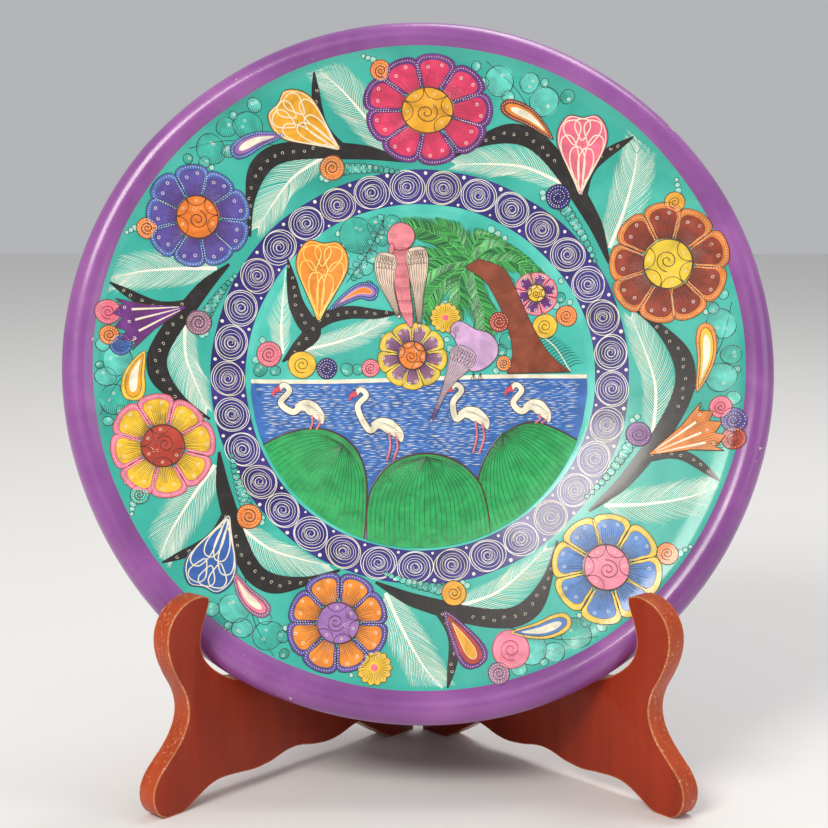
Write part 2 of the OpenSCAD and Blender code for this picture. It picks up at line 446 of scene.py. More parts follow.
def brass(name, bright, dull, turn=(0, 0, 0)):
    """Drawn brass with fine draw lines and patches of brown tarnish."""
    m, nodes, links, b = tree(name)
    lines = noise(nodes, links, 60, 5, (1, 1, 30), turn)
    tarnish = noise(nodes, links, 190, 6, distort=0.9)
    base = ramp(nodes, links, tarnish, [(0.34, rgb(bright)), (0.62, rgb(dull)), (0.76, rgb("5d3f1c"))])
    links.new(base, b.inputs["Base Color"])
    b.inputs["Metallic"].default_value = 1.0
    links.new(ramp(nodes, links, tarnish, [(0.3, grey(0.24)), (0.7, grey(0.55))]), b.inputs["Roughness"])
    bump(nodes, links, b, lines, 0.3, 0.0001)
    return m


def cut_slots(screws, side):
    """Cuts the driver slot in each of a leaf's screws, each turned as its screw was left."""
    forward, out = leaf_axes(side)
    axes = Matrix((forward, Vector((0, 0, 1)), out)).transposed().to_4x4()
    slots = bmesh.new()
    for bottom in HINGE_BOTTOMS:
        for rho, up in ((7.5, 4), (12.5, 12), (7.5, 20)):
            turn = Matrix.Rotation(RNG.uniform(0, math.pi), 4, out)
            place = Matrix.Translation(leaf_point(rho, 0.3, bottom + up, side)) @ turn @ axes
            bmesh.ops.create_cube(slots, size=1.0, matrix=place @ Matrix.Diagonal((6 * MM, 0.55 * MM,
                                                                                   0.7 * MM, 1)))
    bmesh.ops.recalc_face_normals(slots, faces=slots.faces)
    me = bpy.data.meshes.new("slots")
    slots.to_mesh(me)
    slots.free()
    cutter = placed("slots", me)
    cut = screws.modifiers.new("slots", "BOOLEAN")
    cut.operation, cut.object, cut.solver = "DIFFERENCE", cutter, "EXACT"
    done = bpy.data.meshes.new_from_object(screws.evaluated_get(bpy.context.evaluated_depsgraph_get()))
    screws.modifiers.clear()
    screws.data = done
    bpy.data.objects.remove(cutter)


def stand():
    """Both boards in lacquered wood, and the hinges, pins and screws in brass."""
    face = lacquer("lacquer_face", "aa3309", "982a06", "842104", -0.07, "b85c2e", 0.4)
    edge = lacquer("lacquer_edge", "c2501f", "b04217", "9a360f", 0.03, "d08c60", 0.35)
    # the eased edges get a lighter lacquer: partly rubbed wear and partly a painted highlight along the edges
    arris = lacquer("lacquer_worn_and_highlit_arris", "d08a5a", "bf7344", "a4562e", 0.08, "e6b990", 0.2)
    metal = [brass("hinge_brass", "c9a257", "a67c3a"), brass("hinge_brass_rubbed", "dcbc74", "b8924c")]
    screw_metal = [brass("screw_brass", "d0ab62", "a9803e", (0, math.radians(90), 0)), metal[1]]
    for side, leaf in ((-1, "left"), (1, "right")):
        forward, out = leaf_axes(side)
        hinge = leaf_point(0, 0, 0, side)
        body = leaf + "_leaf"

        def outline_edge(e):
            """True for the board's outer edges. Those of the hinge recesses stay sharp."""
            mid = (e.verts[0].co + e.verts[1].co) / 2
            z = mid.z / MM
            return (mid - hinge).dot(forward) / MM > 18.5 or not any(
                low - 2 < z < low + HINGE_H + 2 for low in HINGE_BOTTOMS)
        o = copy_of(leaf + "_board", leaf + "_board_wood", outline_edge, 0.55, 2, [face, edge, arris], body)
        for f in o.data.polygons:
            if f.material_index != 2:
                f.material_index = 0 if abs(f.normal.dot(out)) > 0.8 else 1
        for level in ("lower", "upper"):
            copy_of(f"hinge_{level}_{leaf}", f"hinge_{level}_{leaf}_brass", every_edge, 0.12, 2, metal, body)
        screws = copy_of("screws_" + leaf, "screws_" + leaf + "_brass", every_edge, 0.06, 1, screw_metal,
                         body)
        cut_slots(screws, side)
    for level in ("lower", "upper"):
        copy_of("pin_" + level, f"pin_{level}_brass", every_edge, 0.1, 2, metal, "left_leaf",
                30)


# ---------------------------------------------------------------- paint: closed, raised strokes and fills
def spline(points, per=6, closed=False):
    """A smooth curve through the points."""
    p = np.asarray(points, float)
    n = len(p)
    out = []
    for i in range(n if closed else n - 1):
        a, b, c, d = (p[(i + k) % n] for k in (-1, 0, 1, 2)) if closed else \
            (p[max(i - 1, 0)], p[i], p[i + 1], p[min(i + 2, n - 1)])
        for t in np.arange(per) / per:
            out.append(0.5 * (2 * b + (c - a) * t + (2 * a - 5 * b + 4 * c - d) * t ** 2
                              + (3 * b - 3 * c + d - a) * t ** 3))
    if not closed:
        out.append(p[-1])
    return np.array(out)


def sides(path, closed=False):
    """Unit normals to the left of a path."""
    t = (np.roll(path, -1, 0) - np.roll(path, 1, 0)) if closed else np.gradient(path, axis=0)
    t = t / np.maximum(np.linalg.norm(t, axis=1, keepdims=True), 1e-9)
    return np.stack([-t[:, 1], t[:, 0]], 1)


def forward_of(path):
    """Unit vectors along a path."""
    n = sides(path)
    return np.stack([n[:, 1], -n[:, 0]], 1)


def outline_of(spine, widths):
    """The closed outline of a band of changing width along a line."""
    half = sides(spine) * widths[:, None] / 2
    return np.concatenate([spine + half, (spine - half)[::-1]])


def mirrored(half, wide, long):
    """A closed outline from its right half, which runs from the tip up to the top."""
    return [(x * wide, y * long) for x, y in half] + [(-x * wide, y * long) for x, y in half[-2:0:-1]]


def ring_of(centre, r, k=20, uneven=0.04, squash=1.0, turn=0.0):
    """A hand-drawn circle's points."""
    a = np.arange(k) / k * TAU
    p1, p2 = RNG.random() * TAU, RNG.random() * TAU
    rr = r * (1 + uneven * np.sin(2 * a + p1) + 0.5 * uneven * np.sin(3 * a + p2))
    x, y = rr * np.cos(a), rr * np.sin(a) * squash
    return np.stack([centre[0] + x * math.cos(turn) - y * math.sin(turn),
                     centre[1] + x * math.sin(turn) + y * math.cos(turn)], 1)


def spiral_of(centre, r0, r1, turns, start=0.0, per=18, uneven=0.03):
    """A coil's points from radius r0 to r1."""
    a = np.linspace(0, turns * TAU, max(6, int(turns * per)))
    r = np.linspace(r0, r1, len(a)) * (1 + uneven * np.sin(2 * a + start * 3))
    return np.stack([centre[0] + r * np.cos(a + start), centre[1] + r * np.sin(a + start)], 1)


LAYER = 0.085      # height of one layer of paint, in millimetres
UNDER = 0.06       # how far the underside of a fill lies in the glaze
SKIRT = 0.04       # how far the edge of a stroke or dot reaches below its own layer


class Paint:
    """One group of brush work, gathered into a single mesh that follows the plate's face.

    level is the number of paint layers that lie beneath, and rise is the paint's own height in millimetres.
    """

    middle, scale = np.zeros(2), 1.0     # where the picture being painted is centred, and its scale

    def __init__(self, name):
        self.name = name
        self.co, self.count, self.keys = [], 0, []
        self.faces = {}

    def _slot(self, key):
        if key not in self.keys:
            self.keys.append(key)
        return self.keys.index(key)

    def _add(self, uv, h, groups, key):
        self.co.append(lay(Paint.middle + np.asarray(uv, float) * Paint.scale, h))
        for f in groups:
            f = np.asarray(f) + self.count
            self.faces.setdefault(f.shape[1], []).append((f, self._slot(key)))
        self.count += len(uv)

    def stroke(self, path, width, key, level=0, rise=0.11, closed=False):
        """A brush line of rounded section. width is one number or one for each point."""
        p = np.asarray(path, float)
        n = len(p)
        w = np.broadcast_to(np.asarray(width, float), (n,))[:, None] / 2
        s = sides(p, closed) * w
        uv = np.stack([p + s, p, p - s], 1).reshape(-1, 2)
        low, high = level * LAYER - SKIRT, level * LAYER + rise * np.clip(w[:, 0] / 0.2, 0.45, 1.0)
        h = np.stack([np.full(n, low), high, np.full(n, low)], 1).reshape(-1)
        i = np.arange(n if closed else n - 1)[:, None] * 3
        j = ((i // 3 + 1) % n) * 3
        quads = np.concatenate([np.hstack([i, i + 1, j + 1, j]), np.hstack([i + 1, i + 2, j + 2, j + 1]),
                                np.hstack([i + 2, i, j, j + 2])])
        ends = [] if closed else [np.array([[0, 2, 1], [3 * n - 3, 3 * n - 2, 3 * n - 1]])]
        self._add(uv, h, [quads] + ends, key)

    def fill(self, outline, key, level=0, rise=0.08, rings=3, centre=None):
        """A flat fill inside a closed outline, thinly raised."""
        o = np.asarray(outline, float)
        x, y = o[:, 0], o[:, 1]
        if np.sum(x * np.roll(y, -1) - y * np.roll(x, -1)) < 0:
            o = o[::-1]
        c = o.mean(0) if centre is None else np.asarray(centre, float)
        m = len(o)
        loops = [c + (o - c) * (1 - k / rings) for k in range(rings)] + [c[None]]
        uv = np.concatenate(loops)
        k = len(uv)
        base = level * LAYER
        edge = np.concatenate([np.full(m, base + rise * 0.75), np.full(k - m, base + rise)])
        i = np.arange(m)
        j = (i + 1) % m
        top = [np.stack([i + m * r, j + m * r, j + m * (r + 1), i + m * (r + 1)],
                        1) for r in range(rings - 1)]
        last = m * (rings - 1)
        tri = np.stack([i + last, j + last, np.full(m, k - 1)], 1)
        quads = top + [t[:, ::-1] + k for t in top] + [np.stack([i + k, j + k, j, i], 1)]
        self._add(np.concatenate([uv, uv]), np.concatenate([edge, np.full(k, -UNDER)]),
                  quads + [tri, tri[:, ::-1] + k], key)

    def slab(self, grid, key, level=0, rise=0.08):
        """A fill over a grid of points, rows by columns."""
        g = np.asarray(grid, float)
        r, c = g.shape[:2]
        a, b = g[0, 1] - g[0, 0], g[1, 0] - g[0, 0]
        mid = g[r // 2, min(1, c - 1)] - g[r // 2, 0], g[min(r // 2 + 1, r - 1), 0] - g[r // 2, 0]
        a, b = (mid if np.linalg.norm(mid[0]) > 1e-6 and np.linalg.norm(mid[1]) > 1e-6 else (a, b))
        if a[0] * b[1] - a[1] * b[0] < 0:
            g = g[:, ::-1]
        n = r * c
        at = np.arange(n).reshape(r, c)
        top = np.stack([at[:-1, :-1], at[:-1, 1:], at[1:, 1:], at[1:, :-1]], -1).reshape(-1, 4)
        rim = np.concatenate([at[0, :], at[1:, -1], at[-1, -2::-1], at[-2:0:-1, 0]])
        nxt = np.roll(rim, -1)
        wall = np.stack([rim + n, nxt + n, nxt, rim], 1)
        uv = g.reshape(-1, 2)
        high = np.full((r, c), level * LAYER + rise)
        high[0, :] = high[-1, :] = high[:, 0] = high[:, -1] = level * LAYER + rise * 0.75
        self._add(np.concatenate([uv, uv]), np.concatenate([high.reshape(-1), np.full(n, -UNDER)]),
                  [top, top[:, ::-1] + n, wall], key)

    def ribbon(self, spine, widths, key, level=0, cols=4):
        """A fill of changing width along a line: stems, leaves and drops."""
        p = np.asarray(spine, float)
        s = sides(p) * (np.broadcast_to(np.asarray(widths, float), (len(p),))[:, None] / 2)
        t = np.linspace(1, -1, cols)[None, :, None]
        self.slab(p[:, None] + s[:, None] * t, key, level)

    def dots(self, centres, r, key, level=0, rise=0.13, sides_n=7):
        """Small domed dots, each a little uneven in size."""
        base = level * LAYER
        for c in np.asarray(centres, float).reshape(-1, 2):
            a = np.arange(sides_n) / sides_n * TAU + RNG.random()
            k = r * (1 + 0.12 * (RNG.random() - 0.5))
            ring = np.stack([np.cos(a), np.sin(a)], 1)
            uv = np.concatenate([c + ring * k, c + ring * k * 0.62, c[None]])
            h = np.concatenate([np.full(sides_n, base - SKIRT), np.full(sides_n, base + rise * 0.8),
                                [base + rise]])
            i = np.arange(sides_n)
            j = (i + 1) % sides_n
            self._add(uv, h, [np.stack([i, j, j + sides_n, i + sides_n], 1),
                              np.stack([i + sides_n, j + sides_n, np.full(sides_n, 2 * sides_n)], 1),
                              i[::-1][None]], key)

    def build(self):
        """Makes the group's mesh, a piece that rides on the plate."""
        co = np.concatenate(self.co)
        me = bpy.data.meshes.new(self.name)
        parts = [(f, s) for size in sorted(self.faces) for f, s in self.faces[size]]
        totals = np.concatenate([np.full(len(f), f.shape[1]) for f, s in parts])
        me.vertices.add(len(co))
        me.vertices.foreach_set("co", co.astype(np.float32).reshape(-1))
        loops = np.concatenate([f.reshape(-1) for f, s in parts])
        me.loops.add(len(loops))
        me.loops.foreach_set("vertex_index", loops.astype(np.int32))
        me.polygons.add(len(totals))
        me.polygons.foreach_set("loop_start", (np.cumsum(totals) - totals).astype(np.int32))
        me.polygons.foreach_set("loop_total", totals.astype(np.int32))
        slots = np.concatenate([np.full(len(f), s) for f, s in parts])
        me.polygons.foreach_set("material_index", slots.astype(np.int32))
        me.polygons.foreach_set("use_smooth", np.ones(len(totals), bool))
        for key in self.keys:
            me.materials.append(colour(key))
        me.update(calc_edges=True)
        me.validate()
        me.set_sharp_from_angle(angle=math.radians(70))
        o = placed(self.name, me)
        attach(o, "plate")


# Colours for lines start with "ln_" and are even. The others are for fills and vary in tone.
PALETTE = {
    "soot": "1d1714", "rose": "d9355f", "plum": "6b2f7d", "gold": "e8a41c", "rust": "93351a",
    "amber": "e2812c", "lemon": "e6c32a", "sky": "4a7fc4", "denim": "2f5ea8", "coral": "ea6b84",
    "tangerine": "ec8b25", "lilac": "9b6bb0", "sun": "f0c02a", "pinky": "ee7f98", "brick": "b33a25",
    "iris": "5a4a9c", "bluebell": "4c6cb4", "orange": "ee7d22", "navy": "251a72", "grape": "6f2a80",
    "teal_lt": "5cc9b8", "teal_md": "37b09c", "cream": "f3ead0", "lake": "3468b2", "hill": "22a858",
    "palm": "3fae4f", "palm_lt": "57c65c", "trunk": "8a3f22", "bird_pink": "e7848e", "bird_pale": "e9cdb8",
    "bird_lilac": "cfa6cf", "wing_grey": "c7a9b8", "mauve": "9a6a86", "ln_dark": "1c1712",
    "ln_brown": "4a2418", "ln_white": "f6f1e2", "ln_cream": "efe5c8", "ln_mint": "c9ede0",
    "ln_teal": "0f5a50", "ln_red": "c43a4a", "ln_rose": "a02442", "ln_green": "14532a", "ln_yellow": "f2d060",
    "bird_red": "dc4a5c", "ln_hill": "0d5a2c", "ln_palm": "1d6a34", "ln_blue": "a9c8ee", "ln_plum": "4f1f5c",
    "ln_grey": "5e4a52",
}
made = {}


def colour(key):
    """The palette's paint of that name, made when it is first used."""
    if key not in made:
        made[key] = pigment("paint_" + key, PALETTE[key], uneven=not key.startswith("ln_"))
    return made[key]


fills = Paint("flower_fills")
stems = Paint("stem_fills")
bubbles = Paint("bubble_fills")
picture = Paint("scene_fills")
hairs = Paint("leaf_hairs")
dark = Paint("dark_lines")
light = Paint("light_lines")
beads = Paint("white_dots")
pen = Paint("scene_lines")


def ringlet(c, r, key="ln_white", base=0, width=0.34):
    """A tiny uneven ring."""
    light.stroke(ring_of(c, r, 9, 0.1), width, key, base, closed=True)


def frame_at(origin, direction):
    """Maps local (x across, y along) to the plate."""
    d = np.asarray(direction, float)
    d = d / np.linalg.norm(d)
    side = np.array([d[1], -d[0]])
    o = np.asarray(origin, float)
    return lambda pts: o + np.asarray(pts, float)[..., :1] * side + np.asarray(pts, float)[..., 1:] * d


def along(path, step, skip=0.0):
    """Points at even steps along a path."""
    seg = np.linalg.norm(np.diff(path, axis=0), axis=1)
    s = np.concatenate([[0], np.cumsum(seg)])
    at = np.arange(skip, s[-1] - skip, step)
    return np.stack([np.interp(at, s, path[:, 0]), np.interp(at, s, path[:, 1])], 1)


def flower(c, size, n, turn, rim, petal, core, rim_line, hatch, wide=1.0, inside=(0.72, 0.85)):
    """Round flower: rimmed petals with hatching, a dotted border and florets, and a coiled centre.

    inside is the inner field's share of the petal's width and length; wide stretches it round the plate.
    """
    hw = math.sin(math.pi / n)
    c = np.asarray(c, float)
    out_dir = c / max(np.linalg.norm(c), 1e-6)
    across = np.array([out_dir[1], -out_dir[0]])

    def put_at(angle):
        """Maps local points to the plate, turned by an angle and stretched."""
        put = frame_at(c, (math.sin(angle), math.cos(angle)))

        def stretched(pts):
            q = put(pts) - c
            return c + q + across * (q @ across)[..., None] * (wide - 1)
        return stretched
    half = [(0.34, 0.0), (0.45, 0.47), (0.66, 0.71), (0.83, 0.9), (0.95, 0.66), (1.0, 0.0)]
    for i in range(n):
        a = turn + i * TAU / n + RNG.uniform(-0.03, 0.03)
        grow = size * RNG.uniform(0.965, 1.02)
        put = put_at(a)

        def shape(broad, long):
            """The petal's outline at a share of its width and length."""
            p = [(s * y * hw * broad, 0.34 + (x - 0.34) * long) for s, pts in ((1, half), (-1, half[-2:0:-1]))
                 for x, y in pts]
            return put(spline(np.array(p) * grow, 4, closed=True))
        outer, inner = shape(1.0, 1.0), shape(*inside)
        fills.fill(outer, rim, 2 + 0.047 * (i % 2))
        fills.fill(inner, petal, 3)
        dark.stroke(outer, 0.34, rim_line, 2.8, closed=True)
        dark.stroke(inner, 0.2, rim_line, 3.8, rise=0.07, closed=True)
        border = shape((1 + inside[0]) / 2 + 0.01, (1 + inside[1]) / 2 + 0.005)
        k = len(border)
        beads.dots(along(border[int(k * 0.12):int(k * 0.88)], 1.15), 0.25, "ln_white", 3)
        for t in np.linspace(-0.85, 0.85, 10):
            x0, x1 = 0.4, RNG.uniform(0.64, 0.8) - 0.06 * abs(t)
            y0, y1 = t * hw * 0.34, t * hw * 0.58
            dark.stroke(put(np.array([(y0, x0), ((y0 + y1) / 2, (x0 + x1) / 2), (y1, x1)]) * grow),
                        [0.44, 0.34, 0.12], hatch, 4, rise=0.08)
        for s in (-1, 1):
            ringlet(put(np.array([s * hw * 0.3, 0.79 + 0.03 * s]) * grow), 0.62, base=4)
    r = size * 0.41
    put = put_at(turn * 2.3)
    fills.fill(put(ring_of((0, 0), r, 32, 0.02)), core, 3.5, rise=1.6 * LAYER, rings=4)
    b = 5.1
    dark.stroke(put(ring_of((0, 0), r * 0.98, 36, 0.015)), 0.62, "ln_brown", b, closed=True)
    dark.stroke(put(spiral_of((0, -0.12 * r), 0.05 * r, 0.46 * r, 1.8, 2.6)), 0.6, "ln_brown", b)
    for k in range(5):
        a = math.radians(-24 + k * 57)
        way = np.array([math.cos(a), math.sin(a)])
        arc = [way * r + 0.46 * r * np.array([math.cos(q), math.sin(q)])
               for q in np.linspace(a + 1.86, a + TAU - 1.86, 12)]
        dark.stroke(put(np.array(arc)), 0.5, "ln_brown", b, rise=0.09)
        ringlet(put(way * r * 0.76), 0.55, "ln_cream", b)
    pollen = [(RNG.uniform(-0.22, 0.22) * r, (0.42 + RNG.uniform(-0.14, 0.14)) * r) for _ in range(8)]
    beads.dots(put(np.array(pollen)), 0.22, "ln_cream", b)


def roundel(c, r, key, line="ln_brown", dots_key=None, base=2, start=0.0):
    """Small coiled disc with a dark or dotted spiral."""
    fills.fill(ring_of(c, r, 22, 0.03), key, base)
    dark.stroke(ring_of(c, r * 0.99, 24, 0.02), 0.34, line, base + 1, closed=True)
    dark.stroke(spiral_of(c, r * 0.1, r * 0.6, 1.8, start), 0.5, line, base + 1)
    if dots_key:
        beads.dots(along(spiral_of(c, r * 0.2, r * 0.74, 1.8, start), 1.15), 0.26, dots_key, base + 1)
        beads.dots(along(ring_of(c, r * 0.84, 24, 0.0), 1.25), 0.26, dots_key, base + 1)
    else:
        beads.dots(along(ring_of(c, r * 0.83, 24, 0.0), 1.1), 0.2, "ln_cream", base + 1)


def curl(c, r, start):
    """A tiny white-lined coil on a pale teal bead."""
    bubbles.fill(ring_of(c, r, 12, 0.05), "teal_lt", 0, rings=1)
    dark.stroke(ring_of(c, r, 14, 0.05), 0.28, "ln_dark", 0.8, rise=0.07, closed=True)
    light.stroke(spiral_of(c, r * 0.12, r * 0.72, 1.5, start, 12), 0.34, "ln_white", 1)


def bubble(c, r, turn, spots=2):
    """Pale teal bead with a dark edge, hatching on one side and white florets."""
    bubbles.fill(ring_of(c, r, 18, 0.05), "teal_lt" if RNG.random() < 0.6 else "teal_md", 0, rings=2)
    dark.stroke(ring_of(c, r, 22, 0.05), 0.38, "ln_dark", 0.8, rise=0.09, closed=True)
    put = frame_at(c, (math.sin(turn), math.cos(turn)))
    for x in np.arange(-r * 0.86, r * 0.86, 0.85):
        y = math.sqrt(max(r * r - x * x, 0)) * 0.94
        hatch = [(x, -y), (x + 0.1, -y * 0.55), (x, -y * RNG.uniform(-0.05, 0.3))]
        dark.stroke(put(hatch), [0.36, 0.28, 0.1], "ln_teal", 1, rise=0.07)
    for _ in range(spots if r > 2.6 else 1 if r > 1.6 else 0):
        a, q = RNG.random() * TAU, r * 0.45
        ringlet(put((q * math.cos(a) * 0.8, abs(q * math.sin(a)))), 0.55, base=1, width=0.3)


def outside(p):
    """True if a point of the current picture lies beyond its painted field."""
    if Paint.scale != 1.0:
        return math.hypot(*p) > 77.6
    return math.hypot(*(p - EDGE_MIDDLE)) > PAINT_R - 1.4 or math.hypot(*(p - BAND_MIDDLE)) < BAND_OUT + 0.5


def feather(points, reach, count, rib):
    """Long leaf drawn only in hair strokes that sweep off a tapering midrib. reach is each side's width."""
    p = spline(points, 16)
    seg = np.linalg.norm(np.diff(p, axis=0), axis=1)
    s = np.concatenate([[0], np.cumsum(seg)])
    s = s / s[-1]
    nrm, tan = sides(p), forward_of(p)
    hairs.stroke(p, rib * (1 - s) ** 0.8 + 0.16, "ln_white", 0.235, rise=0.12)
    for k in range(count):
        t = (k + RNG.uniform(0.1, 0.9)) / count
        i = min(max(int(np.searchsorted(s, t)), 1), len(p) - 1)
        for sgn, wide in ((1, reach[0]), (-1, reach[1])):
            L = wide * (math.sin(math.pi * min(1, 0.2 + 0.74 * t)) ** 0.6) * RNG.uniform(0.9, 1.12)
            q = np.linspace(0, 1, 6)[:, None]
            turn = 0.66 + 0.25 * t
            out = nrm[i] * sgn
            sweep = q * (out * math.cos(turn) + tan[i] * math.sin(turn))
            sweep = sweep + 0.32 * q ** 2 * tan[i] - 0.1 * q ** 2 * out
            while outside(p[i] + L * sweep[-1]) and L > 0.8:
                L *= 0.88
            hairs.stroke(p[i] + L * sweep, np.array([0.46, 0.4, 0.34, 0.28, 0.2, 0.08]) * RNG.uniform(0.85,
                                                                                                      1.15),
                         ("ln_white", "ln_white", "ln_cream", "ln_mint")[RNG.randrange(4)], rise=0.08)


def stem(points, widths, florets=13):
    """Black stem of changing width with small white florets along it."""
    p = spline(points, 7)
    w = spline(np.array([[i, x * 1.28] for i, x in enumerate(widths)], float), 7)[:, 1]
    stems.ribbon(p, np.maximum(w, 0.3), "soot", 1)
    for c in along(p, 4.6, 4.0)[:florets]:
        turn = RNG.random() * TAU
        c = c + np.array([RNG.uniform(-0.8, 0.8), RNG.uniform(-0.8, 0.8)])
        light.stroke(spiral_of(c, 0.52, 0.62, 0.86, turn, 12, 0.1), 0.3, "ln_cream", 2)


def drop(points, wide, rim, inner, rim_line, core="cream"):
    """Paisley drop: rim, inner field, pale core and a dotted border. The first point is the round end."""
    p = spline(points, 12)

    def part(start, end, width):
        """The spine and widths of a drop that fills part of the whole one."""
        q = np.linspace(start, end, 26) * (len(p) - 1)
        spine = np.stack([np.interp(q, np.arange(len(p)), p[:, k]) for k in (0, 1)], 1)
        t = np.linspace(0, 1, 26)
        head = np.sqrt(np.clip(1 - ((t - 0.3) / 0.3) ** 2, 0, 1))
        tail = 1 - np.clip((t - 0.3) / 0.7, 0, 1) ** 1.6
        return spine, wide * width * np.clip(np.where(t < 0.3, head, tail), 0.04, 1)
    for level, start, end, width, key in ((2, 0, 1, 1, rim), (3, 0.1, 0.9, 0.66, inner),
                                          (4, 0.2, 0.78, 0.34, core)):
        spine, w = part(start, end, width)
        fills.ribbon(spine, w, key, level, cols=5)
        group, line = (light, "ln_cream") if level == 4 else (dark, rim_line)
        group.stroke(outline_of(spine, w), 0.3, line, level + 0.8, rise=0.09, closed=True)
    beads.dots(along(outline_of(*part(0.05, 0.95, 0.83)), 1.15), 0.22, "ln_white", 3)


def loop_path(p0, p1, wide):
    """A closed petal-shaped loop from p0 to p1."""
    put = frame_at(p0, np.subtract(p1, p0))
    L = math.dist(p0, p1)
    half = [(0, 0), (0.3, 0.3), (0.5, 0.66), (0.36, 0.93), (0, 1.0)]
    return put(spline(mirrored(half, wide, L), 4, closed=True))


def heart_bud(tip, top, wide, key, line):
    """Closed bud: pointed at its tip, lobed at its top, with looped petals drawn in pale line."""
    put = frame_at(tip, np.subtract(top, tip))
    L = math.dist(tip, top)
    half = [(0, 0), (0.13, 0.16), (0.31, 0.4), (0.47, 0.64), (0.45, 0.84), (0.27, 0.99), (0.0, 0.97)]
    pts = mirrored(half, wide, L)
    out = put(spline(pts, 5, closed=True))
    fills.fill(out, key, 2, centre=put((0, 0.66 * L)), rings=4)
    dark.stroke(out, 0.42, "ln_dark", 2.8, closed=True)
    inner = [(x * 0.92, y * 0.97 + 0.012 * L) for x, y in pts]
    light.stroke(put(spline(inner, 5, closed=True)), 0.5, line, 3, closed=True)
    loops = [((0, 0.05), (-0.11, 0.6), 0.19), ((0, 0.05), (0.12, 0.58), 0.19),
             ((-0.05, 0.16), (-0.31, 0.74), 0.2),
             ((0.05, 0.16), (0.32, 0.74), 0.2), ((-0.14, 0.62), (-0.22, 0.93), 0.22),
             ((0.14, 0.62), (0.22, 0.93), 0.22), ((0.0, 0.68), (0.0, 0.95), 0.2)]
    for a, c, w in loops:
        q = loop_path((a[0] * wide, a[1] * L), (c[0] * wide, c[1] * L), w * wide * 1.5)
        light.stroke(put(q), 0.68, line, 3, rise=0.13, closed=True)
    seeds = [(RNG.uniform(-0.1, 0.1) * wide, RNG.uniform(0.6, 0.74) * L) for _ in range(9)]
    beads.dots(put(np.array(seeds)), 0.2, "ln_dark", 3)


def fan_bud(tip, top, wide, key, line, tops):
    """Open bud: a ribbed fan with a scalloped end and pale rays, and discs at its mouth."""
    put = frame_at(tip, np.subtract(top, tip))
    L = math.dist(tip, top)
    end = [(x, 0.92 + 0.06 * math.cos(x * 25) - 0.5 * x * x) for x in np.linspace(-0.5, 0.5, 17)]
    pts = [(0, 0), (-0.1, 0.2), (-0.24, 0.5)] + end + [(0.24, 0.5), (0.1, 0.2)]
    pts = [(x * wide, y * L) for x, y in pts]
    for k, (x, y, r, disc) in enumerate(tops):
        roundel(put((x * wide, y * L)), r, disc, dots_key="ln_cream" if k % 2 else None, base=1)
    fills.fill(put(pts), key, 2, centre=put((0, 0.6 * L)), rings=4)
    dark.stroke(put(pts), 0.4, "ln_brown", 2.8, closed=True)
    for x in np.linspace(-0.44, 0.44, 17):
        dark.stroke(put([(x * 0.55 * wide, 0.5 * L), (x * 0.8 * wide, 0.72 * L), (x * wide, 0.86 * L)]),
                    [0.12, 0.26, 0.16], "ln_brown", 3, rise=0.07)
    for x in (-0.17, 0.02, 0.2):
        light.stroke(put([(x * 0.18 * wide, 0.1 * L), (x * 0.6 * wide, 0.38 * L),
                          (x * 1.15 * wide, 0.7 * L)]),
                     [0.3, 0.8, 1.25], line, 3.2, rise=0.12)
    for x in (-0.3, 0.02, 0.3):
        ringlet(put((x * wide, 0.78 * L)), 0.55, base=3)


def daisy(c, r, key, line, eye, base=2):
    """Small daisy: scalloped disc ruled with rays, a dot at the middle."""
    a = np.linspace(0, TAU, 96, endpoint=False)
    out = np.stack([np.cos(a), np.sin(a)], 1) * (r * (0.94 + 0.06 * np.cos(14 * a)))[:, None] + c
    fills.fill(out, key, base)
    dark.stroke(out, 0.28, line, base + 1, closed=True)
    for k in range(28):
        q = k / 28 * TAU
        d = np.array([math.cos(q), math.sin(q)])
        ray = [np.add(c, d * r * 0.28), np.add(c, d * r * 0.6), np.add(c, d * r * 0.9)]
        dark.stroke(ray, [0.16, 0.36, 0.14], line, base + 1, rise=0.07)
        if k % 2 == 0:
            ringlet(np.add(c, d * r * 0.8), 0.42, "ln_cream", base + 1, 0.24)
    fills.fill(ring_of(c, r * 0.2, 14, 0.02), eye, base + 1, rings=2)


look_at_camera()
studio()
plate_body()
stand()

# ---------------------------------------------------------------- the painted flange
def flange(start, end):
    """Maps a fraction of the way round from one flower to the next, and a radius, to (u, v)."""
    k0, k1 = (np.interp(d % 360, [x[0] for x in REACH], [x[1] for x in REACH]) for d in (start, end))

    def at(f, r):
        k = k0 + (k1 - k0) * min(max(f, 0), 1)
        near_edge = min(max((r - 122) / 22, 0), 1)
        return pol(start + f * (end - start), r * (k + (0.99 - k) * near_edge))
    return at


# how far out the pattern sits, by angle
REACH = [(0, 0.965), (2, 0.965), (67.3, 1.0), (137.1, 1.0), (197.3, 0.98), (252.8, 0.975), (304.4, 0.99),
         (360, 0.965)]
STEM = [(0.07, 99.4, 0.8), (0.18, 109.9, 3.0), (0.28, 118.2, 6.6), (0.36, 120.4, 7.0), (0.44, 118.2, 6.6),
        (0.54, 113.6, 6.2), (0.62, 109.9, 5.8), (0.70, 107.0, 5.2), (0.77, 104.6, 4.2), (0.90, 100.0, 0.9)]
BRANCH = [(0.64, 108.6, 4.2), (0.602, 117.2, 4.0), (0.592, 124.0, 3.7), (0.598, 130.5, 3.6),
          (0.612, 137.4, 2.8),
          (0.628, 145.0, 0.6)]


